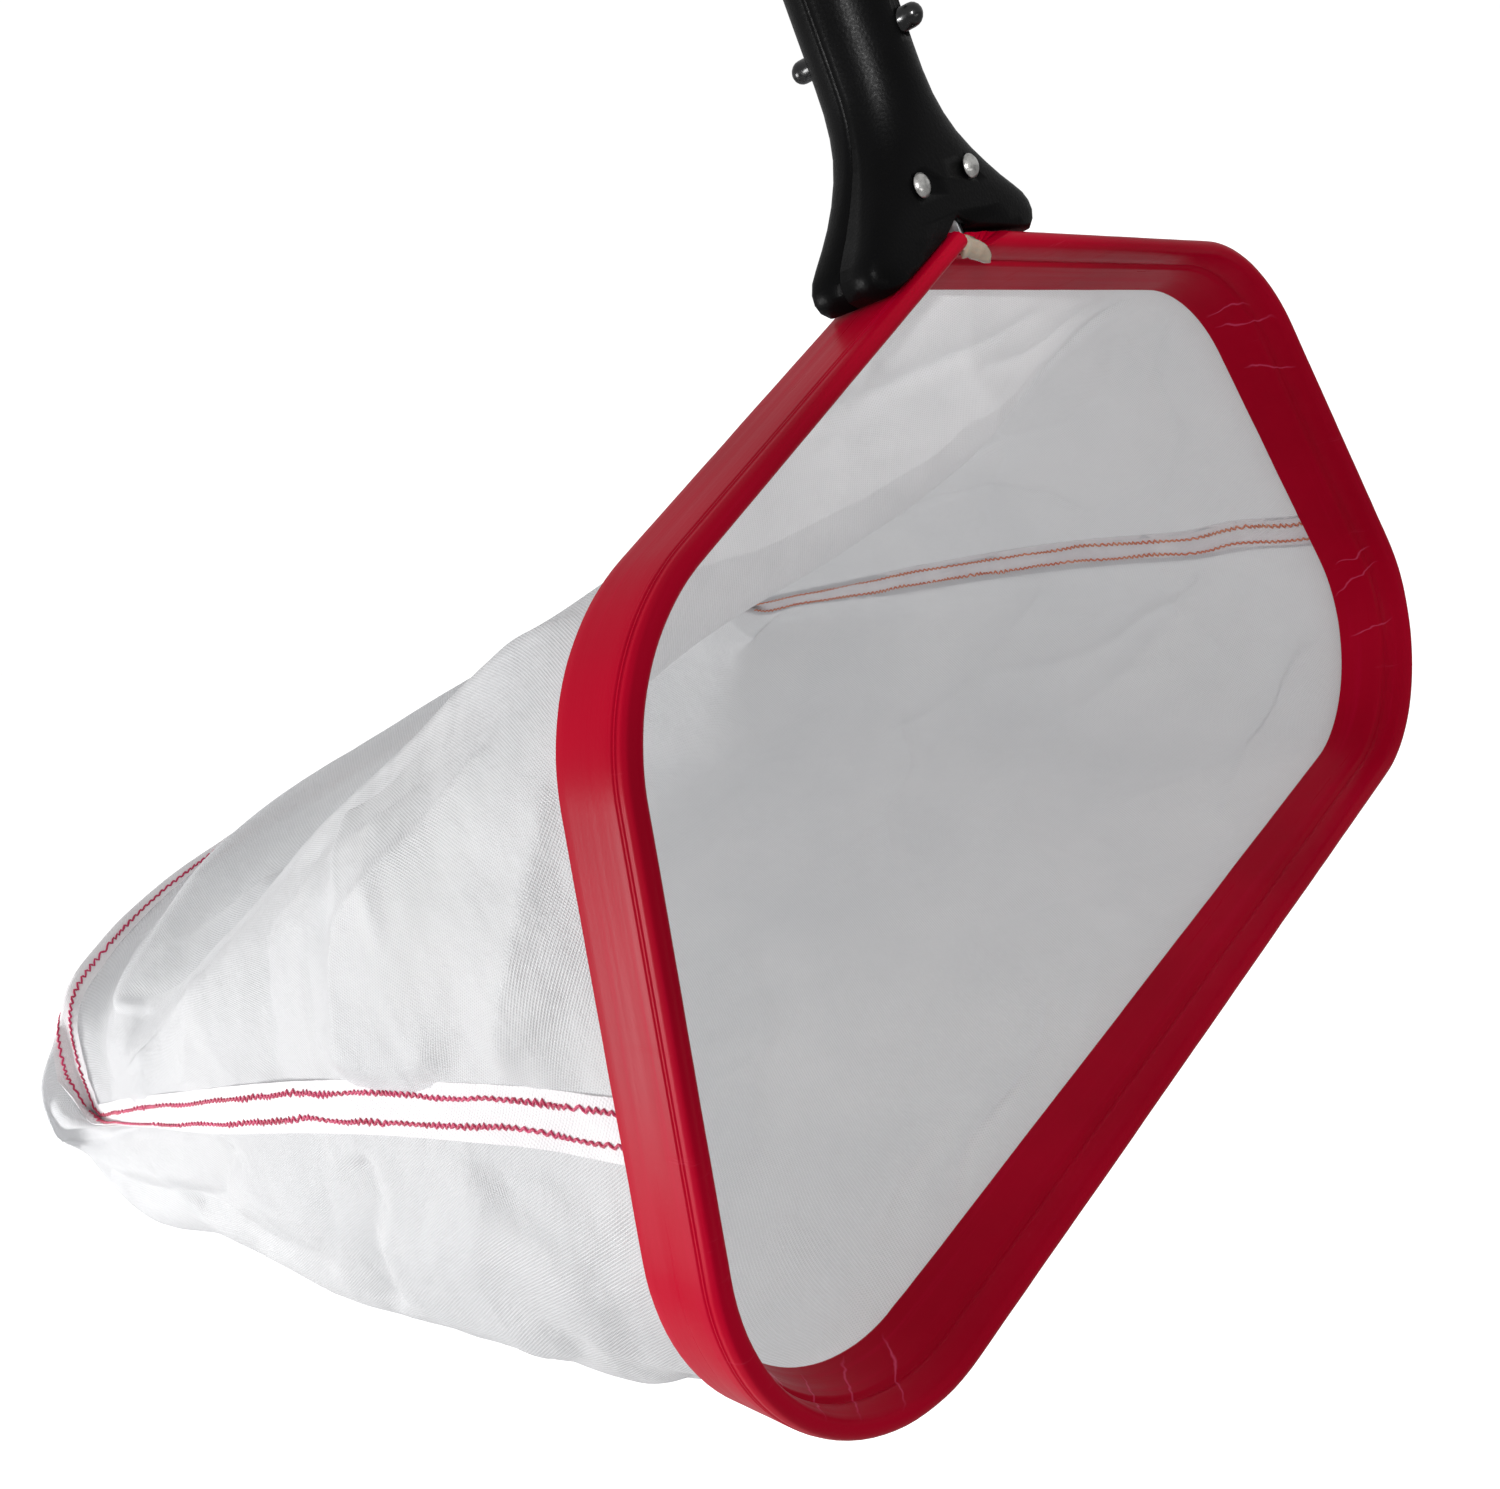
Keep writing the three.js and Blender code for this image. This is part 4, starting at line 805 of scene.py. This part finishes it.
FOLDS = {
    "top": [
        ([(0.150, 0.03), (0.10, 0.06), (0.052, 0.10), (0.012, 0.145)], 2.0, 5.0, 7.0, 0.4),
        ([(0.190, 0.37), (0.107, 0.295), (0.065, 0.33), (0.012, 0.375)], 3.6, 7.0, 16.0, 0.5),
        ([(0.158, 0.27), (0.110, 0.245), (0.04, 0.25), (0.010, 0.22)], 2.2, 6.0, 14.0, -0.3),
        ([(0.210, 0.47), (0.14, 0.52), (0.05, 0.50), (0.013, 0.53)], -1.8, 8.0, 12.0, 0.2),
        ([(0.150, 0.70), (0.08, 0.68), (0.02, 0.70)], 1.6, 7.0, 9.0, 0.3),
        ([(0.113, 0.82), (0.07, 0.80), (0.03, 0.84)], 1.2, 5.0, 5.0, 0.0),
        ([(0.30, 0.50), (0.36, 0.66), (0.42, 0.86)], 2.0, 8.0, 11.0, 0.3),
        ([(0.33, 0.80), (0.27, 0.90), (0.20, 0.93)], 2.2, 6.0, 8.0, 0.3),
        ([(0.52, 0.35), (0.60, 0.60), (0.62, 0.85)], 2.4, 9.0, 12.0, 0.3),
        ([(0.80, 0.05), (0.84, 0.25), (0.80, 0.50)], 2.4, 7.0, 9.0, 0.3),
        ([(0.88, 0.10), (0.93, 0.22), (0.97, 0.36)], 2.0, 6.0, 7.0, 0.3),
        ([(0.70, 0.30), (0.84, 0.36), (0.96, 0.50)], 1.8, 6.0, 8.0, 0.3),
        ([(0.46, 0.02), (0.40, 0.12), (0.33, 0.20)], 1.4, 5.0, 7.0, 0.3),
        ([(0.56, 0.02), (0.60, 0.10), (0.66, 0.16)], 1.4, 5.0, 7.0, 0.3),
        ([(0.745, 0.04), (0.755, 0.20), (0.79, 0.38), (0.82, 0.60)], 2.4, 2.2, 4.0, 0.5),
        ([(0.78, 0.02), (0.83, 0.10), (0.90, 0.13), (0.96, 0.20)], 1.5, 1.8, 3.0, 0.4),
        ([(0.97, 0.30), (0.92, 0.34), (0.86, 0.48), (0.84, 0.66)], 1.6, 2.0, 3.0, 0.4),
        ([(0.70, 0.04), (0.66, 0.08), (0.60, 0.09)], 1.2, 1.8, 2.5, 0.3),
        ([(0.64, 0.02), (0.58, 0.07), (0.50, 0.09), (0.42, 0.08)], 1.5, 2.0, 3.0, 0.4),
        ([(0.17, 0.12), (0.12, 0.20), (0.09, 0.31)], 1.3, 1.8, 2.6, 0.4),
    ],
    "bottom": [
        ([(0.030, 0.385), (0.066, 0.355), (0.12, 0.39), (0.163, 0.425)], 2.6, 5.0, 8.0, 0.5),
        ([(0.033, 0.605), (0.09, 0.665), (0.125, 0.74)], 2.2, 6.0, 7.0, 0.3),
        ([(0.115, 0.90), (0.112, 0.75), (0.11, 0.545), (0.133, 0.46)], 1.8, 6.0, 8.0, 0.3),
        ([(0.245, 0.39), (0.18, 0.24), (0.115, 0.125)], 1.8, 8.0, 9.0, 0.3),
        ([(0.030, 0.18), (0.08, 0.22), (0.15, 0.21)], -1.4, 8.0, 10.0, 0.2),
        ([(0.020, 0.80), (0.05, 0.85), (0.09, 0.93)], 1.8, 5.0, 7.0, 0.3),
        ([(0.30, 0.25), (0.42, 0.40), (0.50, 0.60)], 3.2, 10.0, 14.0, 0.4),
        ([(0.16, 0.05), (0.22, 0.20), (0.30, 0.30)], 2.6, 8.0, 11.0, 0.4),
        ([(0.60, 0.20), (0.68, 0.34), (0.80, 0.42)], 3.0, 8.0, 12.0, 0.4),
        ([(0.97, 0.20), (0.90, 0.26), (0.84, 0.40)], 2.6, 6.0, 9.0, 0.4),
        ([(0.97, 0.10), (0.92, 0.13), (0.88, 0.20)], 1.8, 5.0, 7.0, 0.3),
        ([(0.97, 0.42), (0.90, 0.50), (0.80, 0.66)], 2.4, 7.0, 10.0, 0.4),
        ([(0.90, 0.05), (0.78, 0.10), (0.70, 0.22)], 2.4, 8.0, 12.0, 0.4),
        ([(0.22, 0.02), (0.30, 0.09), (0.40, 0.12)], 2.2, 6.0, 9.0, 0.4),
        ([(0.45, 0.03), (0.55, 0.10), (0.60, 0.22)], 1.8, 7.0, 9.0, 0.3),
        ([(0.975, 0.15), (0.93, 0.24), (0.90, 0.36), (0.88, 0.52)], 1.8, 2.0, 3.2, 0.5),
        ([(0.975, 0.22), (0.95, 0.25), (0.91, 0.24)], 1.2, 1.6, 2.4, 0.3),
        ([(0.90, 0.02), (0.86, 0.08), (0.80, 0.10), (0.70, 0.08)], 2.4, 2.6, 4.0, 0.5),
        ([(0.82, 0.02), (0.74, 0.05), (0.66, 0.04)], 1.4, 2.0, 3.0, 0.4),
        ([(0.30, 0.02), (0.36, 0.06), (0.44, 0.07), (0.50, 0.12)], 1.8, 2.2, 3.6, 0.4),
        ([(0.24, 0.03), (0.28, 0.10), (0.30, 0.20)], 1.6, 2.0, 3.2, 0.4),
        ([(0.60, 0.44), (0.66, 0.52), (0.76, 0.56), (0.84, 0.64)], 1.8, 2.4, 3.6, 0.4),
    ],
}


def folds(G, which, us, vs, length):
    """Folds of the draped cloth and small wrinkles, along the normals; nothing at the edges."""
    U, V = np.meshgrid(us, vs)
    n = normals_of(G)
    edge = smooth(U / 0.025) * smooth((1 - U) / 0.025) * smooth(V / 0.07) * smooth((1 - V) / 0.04)
    wander_u = U + 0.008 * fbm(np.stack([U * 9, V * 5, U * 0 + 3], 2))
    wander_v = V + 0.012 * fbm(np.stack([U * 8, V * 6, U * 0 + 8], 2))
    d = sum(crease(wander_u, wander_v, length, *f) for f in FOLDS[which])
    scale = 1.9 if which == "top" else 2.0
    d = d + scale * fbm(np.stack([G[..., 0] / 95, G[..., 1] / 80, G[..., 2] / 80], 2), 2)
    d = d + 0.35 * np.abs(fbm(np.stack([G[..., 0] / 34, G[..., 1] / 28, G[..., 2] / 30], 2)))
    ridge = 1 - 0.8 * np.exp(-np.abs(U - TOP.knots[2]) / 0.02) if which == "top" else 1.0
    sgn = 1.0 if which == "top" else 1.0
    return G + n * (d * edge * ridge * sgn)[..., None]


def panel_uv(us, vs, length):
    U, V = np.meshgrid(us, vs)
    return np.stack([(U * length / 1000).ravel(), (V * 0.40).ravel()], axis=1)


def panel(name, surf, mouth, which, length, node):
    cut = (TAPE_W - 1.2) / length
    us = np.linspace(0.004, 1 - cut, NU)
    if which == "top":
        us[np.argmin(np.abs(us - surf.knots[2]))] = surf.knots[2]
    vs = np.linspace(0, 0.994, NV)
    G = folds(surf.grid(us, vs), which, us, vs, length)
    lead = np.array([[mouth(u, 5.9, y) for u in us] for y in (14.4, 19.0, 24.5)])
    A = np.concatenate([lead, G])
    vv = np.concatenate([[-0.037, -0.025, -0.012], vs])
    ob = make(name, A.reshape(-1, 3), grid_faces(*A.shape[:2]), [M["mesh"]], panel_uv(us, vv, length), True)
    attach(ob, "root")
    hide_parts(node)
    return ob, A


top_cloth, TOP_A = panel("bag_top_cloth", TOP, top_mouth, "top", TOP_LEN, "bag_top_panel")
bot_cloth, BOT_A = panel("bag_bottom_cloth", BOT, bot_mouth, "bottom", BOT_LEN, "bag_bottom_panel")


def area(A):
    a = np.cross(A[1:, 1:] - A[:-1, :-1], A[1:, :-1] - A[:-1, 1:])
    return float(np.linalg.norm(a, axis=2).sum() / 2) / 1e6


print("panel areas m2", round(area(TOP_A), 4), round(area(BOT_A), 4), "lengths", round(TOP_LEN), round(BOT_LEN))

# ------------------------------------------------------------------ seam tape


def at_distance(G, dist):
    """Points on each row of a grid (rows, samples, 3) at the given distances along the row, from its first point."""
    step = np.linalg.norm(np.diff(G, axis=1), axis=2)
    run = np.concatenate([np.zeros((len(G), 1)), np.cumsum(step, axis=1)], axis=1)
    out = np.zeros((len(G), len(dist), 3))
    for i in range(len(G)):
        for k in range(3):
            out[i, :, k] = np.interp(dist, run[i], G[i, :, k])
    return out


def strip():
    """Centre line of the seam with two points each side: left side, corner, end, corner, right side."""
    d = np.array([TAPE_W, TAPE_W / 2, 0.0])
    vend = 1 - TAPE_W / (BAG_DEPTH - 29)
    vs = np.linspace(0, vend, 80)
    near = np.linspace(0, 0.16, 70)
    back = np.linspace(1, 0.90, 50)

    def pair(top, bottom):
        return np.concatenate([at_distance(top, d), at_distance(bottom, d)[:, ::-1][:, 1:]], axis=1)

    left = pair(TOP.grid(near, vs), BOT.grid(near, vs))
    right = pair(TOP.grid(1 - near, vs[::-1]), BOT.grid(1 - near, vs[::-1]))
    ws = np.linspace(0.05, 0.972, 150)
    end = pair(np.transpose(TOP.grid(ws, back), (1, 0, 2)), np.transpose(BOT.grid(ws, back), (1, 0, 2)))

    def corner(side, first):
        """Mitre between a side row and an end row; its middle is the corner itself."""
        a = TOP.grid([0.0 if first else 1.0], [1.0])[0, 0]
        mid = (side + end[0 if first else -1]) / 2
        mid[2] = a
        mid[1], mid[3] = (mid[0] + a) / 2, (mid[4] + a) / 2
        return mid[None]

    ut, ub = TAPE_W / TOP_LEN, TAPE_W / BOT_LEN
    lead_l = np.array([[top_mouth(ut, 5.9, y), top_mouth(ut / 2, 5.9, y), top_mouth(0, 5.9, y), bot_mouth(ub / 2, 5.9, y), bot_mouth(ub, 5.9, y)] for y in (14.4, 21.0)])
    lead_r = np.array([[top_mouth(1 - ut, 5.9, y), top_mouth(1 - ut / 2, 5.9, y), top_mouth(1, 5.9, y), bot_mouth(1 - ub / 2, 5.9, y), bot_mouth(1 - ub, 5.9, y)] for y in (21.0, 14.4)])
    return np.concatenate([lead_l, left, corner(left[-1], True), end, corner(right[0], False), right, lead_r])


STRIP = strip()


def denser(G, m):
    """Resamples the rows across, for a tape with more columns."""
    k = np.linspace(0, 1, G.shape[1])
    return np.transpose(cubic(k, np.transpose(G, (1, 0, 2)), np.linspace(0, 1, m)), (1, 0, 2))


def tape():
    G = denser(STRIP, 13)
    # keep the edges a little wavy
    n = normals_of(G)
    sgn = 1.0 if n[20, 6, 0] < 0 else -1.0
    x = np.linspace(-1, 1, 13)[None, :]
    pucker = 0.28 * vnoise(np.stack([G[..., 0] / 3.5, G[..., 1] / 3.5, G[..., 2] / 3.5], 2)) * (0.3 + x ** 2) + 0.22 * (1 - x ** 2)
    G = G + n * sgn * (pucker[..., None] + 0.45)
    v, f = slab(G, 0.55)
    R = G.shape[0]
    along = np.concatenate([[0], np.cumsum(np.linalg.norm(np.diff(G[:, 6], axis=0), axis=1))]) / 1000
    uv = np.stack([np.repeat(along, 13), np.tile(np.linspace(-0.0088, 0.0088, 13), R)], axis=1)
    ob = make("seam_tape_band", v, f, [M["tape"]], np.concatenate([uv, uv]), True, 60)
    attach(ob, "root")
    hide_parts("seam_tape")
    return ob, G, n * sgn


tape_ob, TAPE_G, TAPE_N = tape()


def stitch_row(col, r0, r1, name, node, inside=False):
    """Zigzag thread laid on the tape, a little irregular."""
    G = TAPE_G[r0:r1, :, :]
    N = TAPE_N[r0:r1, :, :]
    P, Q = G[:, col], N[:, col]
    across = G[:, min(col + 1, 12)] - G[:, max(col - 1, 0)]
    across /= np.linalg.norm(across, axis=1, keepdims=True)
    d = np.concatenate([[0], np.cumsum(np.linalg.norm(np.diff(P, axis=0), axis=1))])
    step = 0.75
    t = np.arange(0, d[-1], step)
    ip = lambda A: np.stack([np.interp(t, d, A[:, k]) for k in range(3)], 1)
    P, Q, across = ip(P), ip(Q), ip(across)
    seed = col * 13.7 + r0 * 3.1
    drift = 0.7 * fbm(np.stack([t / 23 + seed, t * 0, t * 0], 1))
    phase = t / 1.5 + 1.3 * vnoise(np.stack([t / 9 + seed, t * 0 + 5, t * 0], 1))
    ampl = 0.65 + 0.60 * np.clip(0.5 + fbm(np.stack([t / 17 + seed, t * 0 + 2, t * 0], 1)), 0, 1)
    zig = ampl * (2 / math.pi) * np.arcsin(np.sin(phase * math.pi))
    lift = 0.42 + 0.16 * np.cos(phase * 2 * math.pi)
    path = P + across * (drift + zig)[:, None] + Q * (-lift - 0.1 if inside else lift)[:, None]
    rad = 0.47 + 0.07 * vnoise(np.stack([t * 1.3, t * 0 + seed, t * 0], 1))
    v, f = tube(path, rad, 6)
    ob = make(name, v, f, [M["thread_in"] if inside else M["thread"]], None, True)
    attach(ob, "root")
    if node:
        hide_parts(node)
    return ob


for col, row in ((3, "upper"), (9, "lower")):
    for inside, kind in ((False, "thread"), (True, "bobbin")):
        for part, r0, r1 in (("left", 1, 83), ("end", 82, 234), ("right", 233, 315)):
            stitch_row(col, r0, r1, f"{kind}_{part}_{row}", None if inside else f"stitch_{part}_{row}", inside)

# ------------------------------------------------------------------ apex filler
def blob():
    """Clear filler that has run down over the hem between the two lip ends."""
    nu, nv = 28, 20
    verts, faces = [], []
    for i in range(nv + 1):
        th = math.pi * i / nv
        for j in range(nu):
            ph = 2 * math.pi * j / nu
            verts.append([math.sin(th) * math.cos(ph), math.cos(th), math.sin(th) * math.sin(ph)])
    V = np.array(verts)
    n = 0.16 * vnoise(V * 2.1 + 4) + 0.06 * vnoise(V * 5.0)
    V = V * (1 + n)[:, None]
    V = V * np.array([7.0, 2.8, 3.7]) + np.array([6.4, 3.9, 0])
    V[:, 2] += APEX_Z - 5.8 - 0.55 * np.abs(V[:, 0] - 2)
    faces = grid_faces(nv + 1, nu, closed_c=True)
    me_v, me_f = V, faces
    ob = make("apex_filler_blob", me_v, outward(me_v, me_f), [M["filler"]], None, True)
    b = ob.modifiers.new("weld", "WELD")
    b.merge_threshold = 0.00002
    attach(ob, "root")
    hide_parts("apex_filler")
    return ob


blob()

# ------------------------------------------------------------------ stage
def stage():
    me = bpy.data.meshes.new("floor")
    a, z = 30.0, -0.95
    me.from_pydata([(-a, -a, z), (a, -a, z), (a, a, z), (-a, a, z)], [], [(0, 1, 2, 3)])
    k = Mat("studio_floor")
    n = k.noise(k.obj, 3, 2, 0.5)
    lit = k.node("ShaderNodeLightPath").outputs["Is Camera Ray"]
    k.set(Base_Color=k.mix(n, (0.50, 0.50, 0.50), (0.52, 0.52, 0.52)), Roughness=0.9, Emission_Color=(1, 1, 1, 1), Emission_Strength=k.math("MULTIPLY", lit, 0.95))
    me.materials.append(k.m)
    o = bpy.data.objects.new("floor", me)
    scene.collection.objects.link(o)
    w = bpy.data.worlds.new("studio")
    scene.world = w
    w.use_nodes = True
    nt = w.node_tree
    nt.nodes.clear()
    out = nt.nodes.new("ShaderNodeOutputWorld")
    lp = nt.nodes.new("ShaderNodeLightPath")
    b1, b2, mx = nt.nodes.new("ShaderNodeBackground"), nt.nodes.new("ShaderNodeBackground"), nt.nodes.new("ShaderNodeMixShader")
    b1.inputs[0].default_value, b1.inputs[1].default_value = (1, 1, 1, 1), 0.57
    b2.inputs[0].default_value, b2.inputs[1].default_value = (1, 1, 1, 1), 1.02
    nt.links.new(lp.outputs["Is Camera Ray"], mx.inputs[0])
    nt.links.new(b1.outputs[0], mx.inputs[1])
    nt.links.new(b2.outputs[0], mx.inputs[2])
    nt.links.new(mx.outputs[0], out.inputs[0])


def area_light(name, direction, dist, size, power, centre=(-0.02, 0.16, -0.2)):
    d = Vector(direction).normalized()
    ld = bpy.data.lights.new(name, "AREA")
    ld.shape, ld.size, ld.size_y, ld.energy = "RECTANGLE", size[0], size[1], power
    o = bpy.data.objects.new(name, ld)
    o.location = Vector(centre) + d * dist
    o.rotation_mode = "QUATERNION"
    o.rotation_quaternion = d.to_track_quat("Z", "Y")
    scene.collection.objects.link(o)
    return o


stage()
area_light("key", (-0.80, 0.55, 0.02), 1.7, (0.6, 0.6), 26)
area_light("fill", (-0.15, -0.9, -0.50), 2.2, (1.2, 1.2), 13)


def spot(name, target, direction, dist, energy, angle, radius):
    d = Vector(direction).normalized()
    ld = bpy.data.lights.new(name, "SPOT")
    ld.energy, ld.spot_size, ld.spot_blend, ld.shadow_soft_size = energy, math.radians(angle), 0.8, radius
    o = bpy.data.objects.new(name, ld)
    o.location = Vector(target) + d * dist
    o.rotation_mode = "QUATERNION"
    o.rotation_quaternion = d.to_track_quat("Z", "Y")
    scene.collection.objects.link(o)


spot("yoke_glint", (0.0, 0.0, 0.0), (-0.70, -0.69, 0.17), 1.3, 85, 8, 0.06)

cam = bpy.data.cameras.new("camera")
cam.sensor_width, cam.lens = 36.0, 1332.4 / 1500 * 36
cam.shift_x, cam.shift_y = -0.0003, -0.0019
cam.clip_start, cam.clip_end = 0.02, 100
co = bpy.data.objects.new("camera", cam)
scene.collection.objects.link(co)
R = np.array([[0.6337, -0.6726, -0.3822], [-0.4779, 0.0481, -0.8771], [0.6083, 0.7384, -0.2910]])
co.matrix_world = Matrix((
    (R[0][0], -R[1][0], -R[2][0], -0.35613),
    (R[0][1], -R[1][1], -R[2][1], -0.25873),
    (R[0][2], -R[1][2], -R[2][2], -0.05403),
    (0, 0, 0, 1),
))
scene.camera = co
scene.view_settings.view_transform = "Standard"
scene.view_settings.look = "None"
